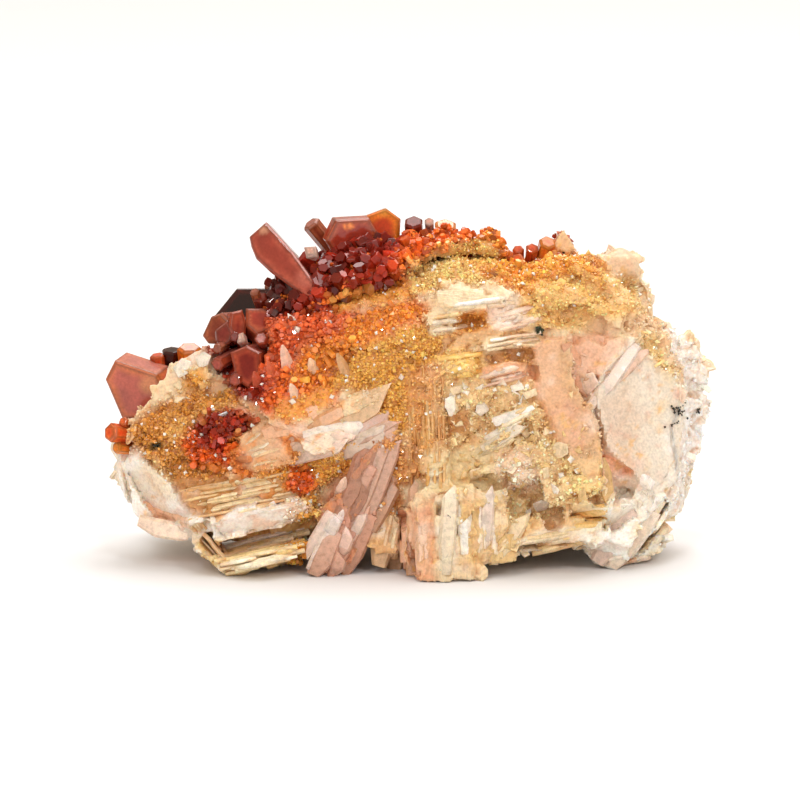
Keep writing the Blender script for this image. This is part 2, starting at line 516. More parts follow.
def cover(points, normals):
    """What covers each place on the rock: its colour and its share of each kind of surface."""
    fine = wander(points, *FINE_WANDER)
    places = points[:, [0, 2]] + wander(points, *BROAD_WANDER) + fine
    colour = np.tile(linear(BASE_COAT), (len(points), 1))
    made = np.tile(KINDS["broken"], (len(points), 1))
    for _, kind, hex_colour, soft, outline in REGIONS:
        share = inside(outline, places, soft)
        lay(colour, hex_colour, share)
        made += (np.array(KINDS[kind]) - made) * share[:, None]
    for outline, _, hex_colour in FACES:
        share = inside(outline, points[:, [0, 2]] + 0.5 * fine, FACE_EDGE) * FACE_CLEAN
        lay(colour, hex_colour, share)
        made += (np.array(KINDS["face"]) - made) * share[:, None]
    clouded(points, colour, 1 - np.clip(1.2 * made[:, 1], 0, 1))
    rear = smooth_step(*REAR_BACK, points[:, 1] + 1.5 * waves(points, 4.0, 21) + 4 * normals[:, 1])
    hidden, kinds = rear_cover(points)
    colour += (hidden - colour) * rear[:, None]
    made += (kinds - made) * rear[:, None]
    return colour, made


# Clouding of bare baryte: colour, size in millimetres, where it starts and is full, and how strong it
# is, or 0 for the rust, which lies near the fan alone
CLOUDS = (
    ("#FFFAF4", 3.0, 0.1, 0.6, 0.5),
    ("#E0A88E", 2.4, 0.15, 0.6, 0.4),
    ("#EDBA68", 1.7, 0.25, 0.65, 0.4),
    ("#E8B058", 0.8, 0.36, 0.52, 0.6),
    ("#C88A6A", 1.1, 0.3, 0.5, 0.35),
    ("#F09038", 1.1, 0.2, 0.34, 0.0),
)
RUST_CENTRE = (306, 436)  # grid squares
RUST_REACH = 8.0  # millimetres
RUST = 0.75


def clouded(points, colour, bare):
    """Changes the colours of bare baryte: milky and flesh clouds, yellow veils and rusty spots."""
    middle = np.array(square(*RUST_CENTRE))
    near_fan = np.exp(-((points[:, [0, 2]] - middle) ** 2).sum(1) / (2 * RUST_REACH ** 2)) * RUST
    for i, (hex_colour, size, low, high, strength) in enumerate(CLOUDS):
        amount = smooth_step(low, high, waves(points, size, 231 + 3 * i, 3)) * bare
        lay(colour, hex_colour, amount * (strength if strength else near_fan))


# The rear's baryte, its clouds (colour, which wave and its sign, where it starts and is full), and
# the druse towards its crest (colour, kind, the heights where it starts and is full)
REAR_COAT = "#F2E2C8"
REAR_CLOUDS = (
    ("#F3D2C0", 0, 1, 0.05, 0.5),
    ("#F8F2EA", 0, -1, 0.1, 0.5),
    ("#E9BE94", 1, 1, 0.25, 0.6),
    ("#E9CF94", 1, -1, 0.25, 0.6),
)
REAR_CLOUDED = 0.8
REAR_DRUSE = (
    ("#DFA650", "coat", 25.0, 28.5),
    ("#DB7A34", "druse", 28.5, 31.5),
    ("#B8401F", "crust", 31.0, 34.0),
)
REAR_DRUSE_END = 26.0, 17.0  # how far right no druse is left, and where it starts to thin


def rear_cover(points):
    """The side that is away from the front: clean baryte, drusy towards the crest."""
    swings = waves(points, 9.0, 31), waves(points, 5.0, 35)
    colour = np.tile(linear(REAR_COAT), (len(points), 1))
    for hex_colour, swing, sign, low, high in REAR_CLOUDS:
        lay(colour, hex_colour, smooth_step(low, high, sign * swings[swing]) * REAR_CLOUDED)
    made = np.tile(KINDS["broken"], (len(points), 1))
    height = points[:, 2] + 0.12 * np.abs(points[:, 0]) + 2.2 * waves(points, 4.0, 41)
    reach = smooth_step(*REAR_DRUSE_END, points[:, 0] + 4 * waves(points, 6.0, 45))
    for hex_colour, kind, low, high in REAR_DRUSE:
        amount = smooth_step(low, high, height) * reach
        lay(colour, hex_colour, amount)
        made += (np.array(KINDS[kind]) - made) * amount[:, None]
    return colour, made


def seeds_among(points, size, seed):
    """Seeds spread over the points, about this far apart."""
    rng = np.random.default_rng(seed)
    cells = np.floor(points / size + rng.uniform(0, 1, 3)).astype(np.int64)
    _, first = np.unique(cells, axis=0, return_index=True)
    return points[first] + rng.uniform(-0.35, 0.35, (len(first), 3)) * size


def nearest_seeds(points, seeds, count):
    """The numbers of the seeds nearest to each point."""
    tree = KDTree(len(seeds))
    for i, place in enumerate(seeds):
        tree.insert(place, i)
    tree.balance()
    return np.array([[found[1] for found in tree.find_n(p, count)] for p in points])


def facets(points, size, seed, tilt, step):
    """Relief of broken crystal faces: tilted flats that meet in sharp ridges."""
    seeds = seeds_among(points, size, seed)
    rng = np.random.default_rng(seed + 1)
    slopes = rng.normal(0, tilt, (len(seeds), 3))
    heights = rng.uniform(-step, step, len(seeds))
    near = nearest_seeds(points, seeds, 3)
    away = points[:, None, :] - seeds[near]
    flats = heights[near] + (away * slopes[near]).sum(2)
    return flats[:, :2].min(1)


PLATE_RISE = 0.78  # share of a plate's width over which it rises before it drops to the next


def strata(points, front):
    """Relief of parallel plates, a coordinate that counts across them, and where they are."""
    relief, count = np.zeros(len(points)), points[:, 2] * 0.8 + points[:, 0] * 0.2
    where = np.zeros(len(points))
    for outline, angle, spacing, depth in STRATA:
        share = inside(outline, points[:, [0, 2]], 0.9) * front
        turn = math.radians(angle)
        here = points[:, 0] * math.cos(turn) + points[:, 2] * math.sin(turn)
        here = here + waves(points, 5.0, 51, 1) * 0.5
        tooth = here / spacing + 0.35 * waves(points, 2.0, 55, 1)
        phase = tooth - np.floor(tooth)
        saw = np.where(phase < PLATE_RISE, phase / PLATE_RISE, (1 - phase) / (1 - PLATE_RISE))
        relief += (saw - 0.6) * depth * share
        count += (here - count) * (share > 0.5)
        where = np.maximum(where, share)
    return relief, count, where


def flattened(points, solid, front):
    """Lays the broad cleavage faces flat across the rock, each a plane with a few growth steps."""
    for outline, proud, _ in FACES:
        share = inside(outline, solid[:, [0, 2]], 0.16) * front
        chosen = share > 0.5
        if chosen.sum() < FACE_LEAST:
            continue
        across = np.column_stack([solid[:, [0, 2]], np.ones(len(solid))])
        plane = np.linalg.lstsq(across[chosen], solid[chosen, 1], rcond=None)[0]
        slanted = (solid[:, 0] * 0.8 + solid[:, 2] * 0.6) / STEP_WIDE
        step = np.floor(slanted + 0.5 * waves(solid, 3.0, 95, 1)) % 2
        # Worn a little, with small hollows where grains have broken out
        worn = 0.05 * waves(solid, 1.1, 97) - 0.16 * smooth_step(0.4, 0.5, waves(solid, 1.3, 99))
        flat = across @ plane - proud - STEP_HIGH * step - worn
        points[:, 1] += (flat - points[:, 1]) * share * (np.abs(flat - solid[:, 1]) < FACE_REACH)


def arrays_of(mesh):
    """A mesh's vertices and normals on the elevation, and its edges."""
    count = len(mesh.vertices)
    co, no = np.empty(count * 3, np.float32), np.empty(count * 3, np.float32)
    mesh.vertices.foreach_get("co", co)
    mesh.vertices.foreach_get("normal", no)
    edges = np.empty(len(mesh.edges) * 2, np.int32)
    mesh.edges.foreach_get("vertices", edges)
    points = elevation(co.reshape(-1, 3))
    c, s = math.cos(LEAN), math.sin(LEAN)
    n = no.reshape(-1, 3).astype(float)
    normals = np.stack([n[:, 0], n[:, 1] * c - n[:, 2] * s, n[:, 2] * c + n[:, 1] * s], 1)
    return points, normals, edges.reshape(-1, 2)


def quads_of(mesh):
    """The corners of each face of a mesh that has only quads."""
    faces = np.empty(len(mesh.polygons) * 4, np.int32)
    mesh.polygons.foreach_get("vertices", faces)
    return faces.reshape(-1, 4)


def placed_on_floor(points):
    """Places on the elevation as float32 row coordinates, none of them under the floor."""
    placed = row(points)
    placed[:, 2] = np.maximum(placed[:, 2], 0.0)
    return placed.astype(np.float32).ravel()


def averaged(values, edges, times):
    """Each vertex's value blended with its neighbours' this many times."""
    count = np.bincount(edges.ravel(), minlength=len(values)) + 1.0
    for _ in range(times):
        total = values.copy()
        np.add.at(total, edges[:, 0], values[edges[:, 1]])
        np.add.at(total, edges[:, 1], values[edges[:, 0]])
        values = total / count
    return values


def paint(mesh, name, colour):
    """Stores a linear colour for each vertex under this name."""
    layer = mesh.color_attributes.new(name, "FLOAT_COLOR", "POINT")
    rgba = np.ones((len(colour), 4), np.float32)
    rgba[:, :3] = np.clip(colour, 0, 1)
    layer.data.foreach_set("color", rgba.ravel())


def measure(mesh, name, values):
    """Stores a number for each vertex under this name."""
    layer = mesh.attributes.new(name, "FLOAT", "POINT")
    layer.data.foreach_set("value", np.asarray(values, np.float32))


def mesh_of(name, points, rings):
    """A mesh from points on the elevation and arrays of faces, one array for each number of sides."""
    mesh = bpy.data.meshes.new(name)
    corners = np.concatenate([r.ravel() for r in rings]).astype(np.int32)
    sides = np.concatenate([np.full(len(r), r.shape[1]) for r in rings])
    starts = np.concatenate([[0], np.cumsum(sides)[:-1]]).astype(np.int32)
    mesh.vertices.add(len(points))
    mesh.vertices.foreach_set("co", placed_on_floor(points))
    mesh.loops.add(len(corners))
    mesh.loops.foreach_set("vertex_index", corners)
    mesh.polygons.add(len(sides))
    mesh.polygons.foreach_set("loop_start", starts)
    mesh.update(calc_edges=True)
    mesh.validate()
    mesh.shade_flat()
    return mesh


def place_piece(name, mesh, material, nodes=()):
    """A shown piece that rides on the specimen, stands for these CAD nodes and wears this material."""
    obj = bpy.data.objects.new(name, mesh)
    bpy.context.scene.collection.objects.link(obj)
    mesh.materials.clear()
    mesh.materials.append(material)
    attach(obj, "root")
    if nodes:
        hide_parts(*nodes)
    return obj


# Templates for small crystals: points round the axis, standing on z = 0 and one unit tall
SIDES = 6
ROOT_LEVEL, ROOT_WIDTH = -0.5, 0.9  # the end that is in the rock


def band(low, high, count):
    """The four-sided faces between two rings of points, whose first points have these numbers."""
    return [(low + i, low + (i + 1) % count, high + (i + 1) % count, high + i) for i in range(count)]


def prism_template(shoulder=0.92, cap=0.86):
    """A prism with a narrow bevel round its flat end: its points, its four-sided faces and its ends."""
    ring = [(math.cos(math.tau * i / SIDES), math.sin(math.tau * i / SIDES)) for i in range(SIDES)]
    levels = ((ROOT_LEVEL, ROOT_WIDTH), (shoulder, 1.0), (1.0, cap))
    points = [(x * w, y * w, z) for z, w in levels for x, y in ring]
    quads = band(0, SIDES, SIDES) + band(SIDES, 2 * SIDES, SIDES)
    ends = [tuple(range(SIDES))[::-1], tuple(range(2 * SIDES, 3 * SIDES))]
    return np.array(points), [np.array(quads), np.array(ends)]


def grain_template():
    """A lopsided eight-faced grain, its lower point in the rock."""
    waist = [(1, 0.1, 0.2), (-0.1, 1, 0.35), (-0.9, -0.1, 0.15), (0.1, -0.9, 0.3)]
    points = [(0, 0, -0.6), *waist, (0.15, 0.1, 1)]
    faces = [(0, 1 + (i + 1) % 4, 1 + i) for i in range(4)]
    faces += [(1 + i, 1 + (i + 1) % 4, 5) for i in range(4)]
    return np.array(points, float), [np.array(faces)]


def plate_template():
    """A thin six-sided plate lying on z = 0, half its thickness to each side."""
    outline = ((-1, -0.7), (0.75, -0.75), (1, -0.5), (0.9, 0.62), (0.5, 0.78), (-0.95, 0.6))
    points = [(x, y, z) for z in (-0.5, 0.5) for x, y in outline]
    ends = [(5, 4, 3, 2, 1, 0), (6, 7, 8, 9, 10, 11)]
    return np.array(points), [np.array(band(0, 6, 6)), np.array(ends)]


def frames_round(axes, rng):
    """For each axis, a turn that stands a template on it, rolled at random."""
    axes = axes / np.linalg.norm(axes, axis=1, keepdims=True)
    guess = rng.normal(size=axes.shape)
    first = np.cross(guess, axes)
    first /= np.linalg.norm(first, axis=1, keepdims=True)
    return np.stack([first, np.cross(axes, first), axes], 2)


LEAST_FIT = 0.25  # a copy shrinks to no less than this share of its size


def copies(template, turns, places, scales):
    """Many copies of a template as points and faces; one that would leave the box shrinks to fit."""
    points, rings = template
    offsets = np.einsum("nij,nkj->nki", turns, points[None] * scales[:, None, :])
    low, high = (np.array(corner) / MM for corner in CAD_BOX)
    reach = row((offsets + places[:, None, :]).reshape(-1, 3)).reshape(offsets.shape) / MM
    over = np.maximum(reach - high - BOX_PLAY, low - BOX_PLAY - reach)[..., :2].max((1, 2))
    size = np.linalg.norm(offsets, axis=2).max(1)
    moved = offsets * np.clip(1 - over / size, LEAST_FIT, 1)[:, None, None] + places[:, None, :]
    step = np.arange(len(places)) * len(points)
    faces = [(ring[None] + step[:, None, None]).reshape(-1, ring.shape[1]) for ring in rings]
    return moved.reshape(-1, 3), faces


def joined(parts):
    """Several sets of points and faces as one."""
    points, faces, start = [], {}, 0
    for more, rings in parts:
        for ring in rings:
            faces.setdefault(ring.shape[1], []).append(ring + start)
        points.append(more)
        start += len(more)
    return np.concatenate(points), [np.concatenate(faces[k]) for k in sorted(faces)]


# The rock as built, which grains and blades are strewn on
ROCK = {}


def strewn(count, weight, rng):
    """Places on the rock drawn at random, by area and by each vertex's weight, clear of the floor."""
    weight = weight * (row(ROCK["points"])[:, 2] > FOOT_CLEAR * MM)
    faces = ROCK["faces"]
    share = ROCK["areas"] * weight[faces].mean(1)
    chosen = rng.choice(len(faces), count, p=share / share.sum())
    mix = rng.dirichlet((1.2,) * faces.shape[1], count)
    corners = faces[chosen]
    places = (ROCK["points"][corners] * mix[..., None]).sum(1)
    normals = (ROCK["normals"][corners] * mix[..., None]).sum(1)
    colours = (ROCK["colour"][corners] * mix[..., None]).sum(1)
    return places, normals / np.linalg.norm(normals, axis=1, keepdims=True), colours


def add(tree, kind, settings=None, inputs=None):
    """Adds a node with its settings; inputs are numbers, colours or the sockets that feed them."""
    node = tree.nodes.new(kind)
    for name, value in (settings or {}).items():
        setattr(node, name, value)
    for name, value in (inputs or {}).items():
        if isinstance(value, NodeSocket):
            tree.links.new(value, node.inputs[name])
        else:
            node.inputs[name].default_value = value
    return node


def per_mm(size):
    """A texture's scale for detail of this size in millimetres, on coordinates in metres."""
    return 1000.0 / size


def new_material(name):
    """An empty node material, with its tree and its output."""
    material = bpy.data.materials.new(name)
    material.use_nodes = True
    tree = material.node_tree
    tree.nodes.clear()
    return material, tree, tree.nodes.new("ShaderNodeOutputMaterial")


def mixed(tree, blend, factor, first, second):
    """Two colours blended; a Mix node has a socket of each name for each type, so colours go by number."""
    return add(tree, "ShaderNodeMix", {"data_type": "RGBA", "blend_type": blend}, {
        0: factor, 6: first, 7: second}).outputs[2]


BARYTE_IOR = 1.64
VANADINITE_IOR = 2.35


def cleaved_baryte(settings):
    """Baryte, cleaved and broken: pearly flats, fine growth lines and a dusting of ochre in the lows."""
    material, tree, output = new_material("Baryte, cleaved and broken")
    place = add(tree, "ShaderNodeTexCoord").outputs["Object"]
    stain, across, druse, lined = (
        add(tree, "ShaderNodeAttribute", {"attribute_name": name}).outputs[out]
        for name, out in (("stain", "Color"), ("strata", "Fac"), ("druse", "Fac"), ("lined", "Fac")))
    # Mottling about 0.9 mm across, as the crystal is clearer in one place than in the next
    mottle = add(tree, "ShaderNodeTexNoise", None, {"Vector": place, "Scale": per_mm(0.9), "Detail": 4.0})
    tone = add(tree, "ShaderNodeMapRange", None, {
        "Value": mottle.outputs["Fac"], "From Min": 0.3, "From Max": 0.7, "To Min": 0.93, "To Max": 1.05})
    # Growth lines 0.28 mm apart, drawn a little coarser than the real ones so that they show
    lines = add(tree, "ShaderNodeTexNoise", {"noise_dimensions": "1D"}, {
        "W": across, "Scale": 1.0 / 0.28, "Detail": 2.0, "Roughness": 0.6})
    line_tone = add(tree, "ShaderNodeMapRange", None, {
        "Value": lines.outputs["Fac"], "From Min": 0.35, "From Max": 0.65, "To Min": -0.07, "To Max": 0.03})
    line_tone = add(tree, "ShaderNodeMath", {"operation": "MULTIPLY_ADD"}, {
        0: line_tone.outputs["Result"], 1: lined, 2: 1.0})
    # Grains of druse 0.4 mm across, each a little lighter or darker than the next
    sand = add(tree, "ShaderNodeTexVoronoi", None, {"Vector": place, "Scale": per_mm(0.42)})
    speckle = add(tree, "ShaderNodeValToRGB", None, {"Fac": sand.outputs["Color"]})
    speckle.color_ramp.elements[0].color = (*linear("#D8B090"), 1.0)
    speckle.color_ramp.elements[1].color = (1.0, 1.0, 1.0, 1.0)
    sanded = mixed(tree, "MULTIPLY", druse, stain, speckle.outputs["Color"])
    both = add(tree, "ShaderNodeMath", {"operation": "MULTIPLY"}, {
        0: tone.outputs["Result"], 1: line_tone.outputs["Value"]})
    soft = add(tree, "ShaderNodeTexNoise", None, {"Vector": place, "Scale": per_mm(0.3), "Detail": 3.0})
    # Fine grains of the broken surface, 0.3 mm, each clearer or cloudier than the next
    flecks = add(tree, "ShaderNodeMapRange", None, {
        "Value": soft.outputs["Fac"], "From Min": 0.3, "From Max": 0.7, "To Min": 0.85, "To Max": 1.13})
    both = add(tree, "ShaderNodeMath", {"operation": "MULTIPLY"}, {
        0: both.outputs["Value"], 1: flecks.outputs["Result"]})
    shade = mixed(tree, "MULTIPLY", 1.0, sanded, both.outputs["Value"])
    sandy = add(tree, "ShaderNodeMath", {"operation": "MULTIPLY"}, {0: sand.outputs["Distance"], 1: druse})
    rough_lines = add(tree, "ShaderNodeMath", {"operation": "MULTIPLY"}, {0: lines.outputs["Fac"], 1: lined})
    height = add(tree, "ShaderNodeMath", {"operation": "ADD"}, {
        0: rough_lines.outputs["Value"], 1: soft.outputs["Fac"]})
    height = add(tree, "ShaderNodeMath", {"operation": "SUBTRACT"}, {
        0: height.outputs["Value"], 1: sandy.outputs["Value"]})
    bump = add(tree, "ShaderNodeBump", None, {
        "Strength": 0.6, "Distance": 0.2 * MM, "Height": height.outputs["Value"]})
    rough = add(tree, "ShaderNodeMapRange", None, {
        "Value": mottle.outputs["Fac"], "From Min": 0.3, "From Max": 0.7, "To Min": 0.28, "To Max": 0.5})
    shader = add(tree, "ShaderNodeBsdfPrincipled", None, {
        "Base Color": shade, "Roughness": rough.outputs["Result"], "IOR": BARYTE_IOR,
        "Specular IOR Level": 0.4, "Normal": bump.outputs["Normal"],
        "Subsurface Weight": settings.depth_of_glow, "Subsurface Radius": (1.2, 0.8, 0.55),
        "Subsurface Scale": 1.0 * MM})
    tree.links.new(shader.outputs["BSDF"], output.inputs["Surface"])
    return material


def tinted_crystal(name, roughness, gloss, mottle_mm, glow, ior=VANADINITE_IOR):
    """A crystal finish whose colour comes from each crystal's own tint, clouded at this size."""
    material, tree, output = new_material(name)
    place = add(tree, "ShaderNodeTexCoord").outputs["Object"]
    tint = add(tree, "ShaderNodeAttribute", {"attribute_name": "tint"}).outputs["Color"]
    cloud = add(tree, "ShaderNodeTexNoise", None, {
        "Vector": place, "Scale": per_mm(mottle_mm), "Detail": 3.0})
    tone = add(tree, "ShaderNodeMapRange", None, {
        "Value": cloud.outputs["Fac"], "From Min": 0.3, "From Max": 0.7, "To Min": 0.82, "To Max": 1.14})
    # Finer clouds and inclusions, a sixth of that size
    flecks = add(tree, "ShaderNodeTexNoise", None, {
        "Vector": place, "Scale": per_mm(mottle_mm / 6), "Detail": 3.0, "Roughness": 0.6})
    flecks = add(tree, "ShaderNodeMapRange", None, {
        "Value": flecks.outputs["Fac"], "From Min": 0.3, "From Max": 0.7, "To Min": 0.85, "To Max": 1.12})
    tone = add(tree, "ShaderNodeMath", {"operation": "MULTIPLY"}, {
        0: tone.outputs["Result"], 1: flecks.outputs["Result"]})
    shade = mixed(tree, "MULTIPLY", 1.0, tint, tone.outputs["Value"])
    rough = add(tree, "ShaderNodeMapRange", None, {
        "Value": cloud.outputs["Fac"], "From Min": 0.3, "From Max": 0.7,
        "To Min": roughness * 0.7, "To Max": roughness * 1.4})
    bump = add(tree, "ShaderNodeBump", None, {
        "Strength": 0.25, "Distance": 0.03 * MM, "Height": cloud.outputs["Fac"]})
    shader = add(tree, "ShaderNodeBsdfPrincipled", None, {
        "Base Color": shade, "Roughness": rough.outputs["Result"], "IOR": ior,
        "Specular IOR Level": gloss, "Normal": bump.outputs["Normal"], "Subsurface Weight": glow,
        "Subsurface Radius": (1.0, 0.4, 0.15), "Subsurface Scale": 0.8 * MM})
    tree.links.new(shader.outputs["BSDF"], output.inputs["Surface"])
    return material


class RockSettings(PropertyGroup):
    """The baryte rock."""

    grid: FloatProperty(
        name="Grid", description="Spacing of the rock's surface, in metres",
        default=0.00037, min=0.0002, unit="LENGTH")
    relief: FloatProperty(
        name="Relief", description="How deep the broken faces stand", default=1.0, min=0.0)
    low_colour: FloatVectorProperty(
        name="Lows", description="Stain of the lows, laid over the rock's own colour",
        subtype="COLOR", size=3, default=linear("#E4C096"))
    depth_of_glow: FloatProperty(
        name="Glow", description="Share of light that scatters inside",
        default=0.45, min=0.0, max=1.0)


class DruseSettings(PropertyGroup):
    """The fine crystals on the rock."""

    fine: IntProperty(
        name="Front grains", description="Number of fine grains on the front",
        default=24500, min=0)
    fine_rear: IntProperty(
        name="Rear grains", description="Number of fine grains behind", default=12000, min=0)
    clear: FloatProperty(
        name="Clear grains", description="Share of the fine grains that are clear and flash white",
        default=0.02, min=0.0, max=1.0)
    coarse: IntProperty(
        name="Coarse grains", description="Number of small prisms", default=4400, min=0)
    blades: IntProperty(
        name="Blades", description="Number of small baryte blades", default=1500, min=0)


class CrystalSettings(PropertyGroup):
    """The large crystals."""

    bevel: FloatProperty(
        name="Edge", description="Width of the bright edge between two faces, in millimetres",
        default=0.06, min=0.0)


class StudioSettings(PropertyGroup):
    """Floor, light and camera."""

    lens: FloatProperty(name="Lens", description="Focal length", default=300.0, unit="CAMERA")
    overhead: FloatProperty(
        name="Overhead", description="Strength of the room's light from straight above",
        default=0.78)
    level: FloatProperty(
        name="Level", description="Strength of the room's light from the sides", default=0.38)
    key: FloatProperty(name="Key", description="Power of the main light", default=0.47)


def remeshed(source, grid):
    """A copy of a mesh on an even grid."""
    obj = bpy.data.objects.new("grid", source.copy())
    bpy.context.scene.collection.objects.link(obj)
    modifier = obj.modifiers.new("grid", "REMESH")
    modifier.mode = "VOXEL"
    modifier.voxel_size = grid
    bpy.context.view_layer.update()
    mesh = bpy.data.meshes.new_from_object(obj.evaluated_get(bpy.context.evaluated_depsgraph_get()))
    bpy.data.objects.remove(obj)
    return mesh


# Relief of the rock, in millimetres: its broken faces, coarse and fine (size, seed, tilt, step), how
# strongly plates show, the height and size of drusy lumps and of the broad swell, and the limits
BREAKS = ((4.2, 61, 0.3, 0.35), (1.5, 71, 0.34, 0.12))
PLATES_SHOW = 0.5
LUMP_HIGH, LUMP_WIDE = 0.14, 0.7
SWELL_HIGH, SWELL_WIDE = 0.22, 7.0
RELIEF_LIMITS = -1.1, 0.8
LOW_REACH, LOW_STAIN = 6, 0.6  # rounds of averaging that find the lows, and how stained they are
SHARP = math.radians(38)  # edges sharper than this stay crisp


class SPECIMEN_OT_rock(Operator):
    """Builds the baryte rock from its solid: broken faces, plates and pits, and what stains them"""

    bl_idname = "specimen.rock"
    bl_label = "Baryte Rock"

    def execute(self, context):
        settings = context.scene.specimen_rock
        mesh = remeshed(NODES["baryte_matrix"].data, settings.grid)
        points, normals, edges = arrays_of(mesh)
        colour, made = cover(points, normals)
        facet, drusy = made[:, 0], made[:, 1]
        front = smooth_step(*FRONT_BACK[::-1], points[:, 1])
        plates, across, lined = strata(points, front)
        relief = facet * sum(facets(points, *layer) for layer in BREAKS)
        relief += plates * PLATES_SHOW * facet
        relief += drusy * LUMP_HIGH * waves(points, LUMP_WIDE, 81, 2)
        relief += SWELL_HIGH * waves(points, SWELL_WIDE, 91, 1) * (0.3 + facet)
        relief = np.clip(relief * settings.relief, *RELIEF_LIMITS)
        lows = np.clip((averaged(relief, edges, LOW_REACH) - relief) * 3.0, 0, 1)
        colour *= 1 - (1 - np.array(settings.low_colour)) * (lows * LOW_STAIN)[:, None]
        solid = points.copy()
        points += normals * relief[:, None]
        flattened(points, solid, front)
        mesh.vertices.foreach_set("co", placed_on_floor(points))
        mesh.update()
        paint(mesh, "stain", colour)
        measure(mesh, "strata", across)
        measure(mesh, "lined", lined * (facet > 0.2))
        measure(mesh, "druse", drusy)
        mesh.shade_smooth()
        mesh.set_sharp_from_angle(angle=SHARP)
        place_piece("baryte_rock", mesh, cleaved_baryte(settings), ["baryte_matrix"])
        keep_rock(mesh, colour, made)
        return {"FINISHED"}


def keep_rock(mesh, colour, made):
    """Keeps the rock's arrays, which the grains and blades are strewn on."""
    points, normals, _ = arrays_of(mesh)
    faces = quads_of(mesh)
    areas = np.empty(len(mesh.polygons), np.float32)
    mesh.polygons.foreach_get("area", areas)
    tree = BVHTree.FromPolygons(points.tolist(), faces.tolist())
    ROCK.update(points=points, normals=normals, colour=colour, made=made, faces=faces, areas=areas, tree=tree)


def jittered(colours, rng, spread, bright=1.0):
    """Each colour a little lighter and paler, or darker and redder."""
    light = np.maximum(rng.normal(bright, spread, (len(colours), 1)), 0.3)
    warm = rng.normal(0, spread * 0.5, (len(colours), 1))
    return np.clip(colours * light ** (1.0, 1.25, 1.6) * (1 + warm * (0.3, 0.0, -0.6)), 0, 1)


def tinted(template, colours, root_shade):
    """A colour for each point of each copy: darker towards its root, where less light reaches."""
    height = template[0][:, 2]
    share = np.clip((height - height.min()) / (height.max() - height.min()), 0, 1)
    tone = root_shade + (1 - root_shade) * share
    return (colours[:, None, :] * tone[None, :, None]).reshape(-1, 3)


def specks(rng):
    """Places and colours of the specks of ore on the rock's front."""
    places, colours = [], []
    for across, down, spread, count, colour in SPECKS:
        for _ in range(count):
            x, z = np.array(square(across, down)) + rng.normal(0, spread * 0.5, 2)
            depth = front_of(x, z)
            if depth is not None:
                places.append((x, depth - ORE_PROUD, z))
                colours.append(linear(colour))
    return np.array(places), np.array(colours)


# Sizes of small crystals in millimetres: median, spread, least and largest
GRAIN_SIZES = (0.16, 0.35, 0.08, 0.4)
PRISM_SIZES = (0.19, 0.42, 0.1, 0.5)
BLADE_SIZES = (0.9, 0.45, 0.4, 2.4)
ORE_SIZES = (0.1, 0.24)
CLEAR_TINT, CLEAR_LARGER = (1.0, 0.95, 0.84), 1.4
GRAIN_BRIGHT = 1.15  # a grain's faces are lighter than the rock under them
GRAIN_TILT, PRISM_TILT = 0.55, 0.75  # how far small crystals stand from upright, on average


def sizes(rng, count, median, spread, least, largest):
    """Sizes drawn as crystals have them: many that are small and few that are large."""
    return rng.lognormal(math.log(median), spread, count).clip(least, largest)


def stretched(size, rng, wide, tall):
    """A size across for each, with its other width and its height, drawn as shares of it."""
    count = len(size)
    return np.stack([size, size * rng.uniform(*wide, count), size * rng.uniform(*tall, count)], 1)


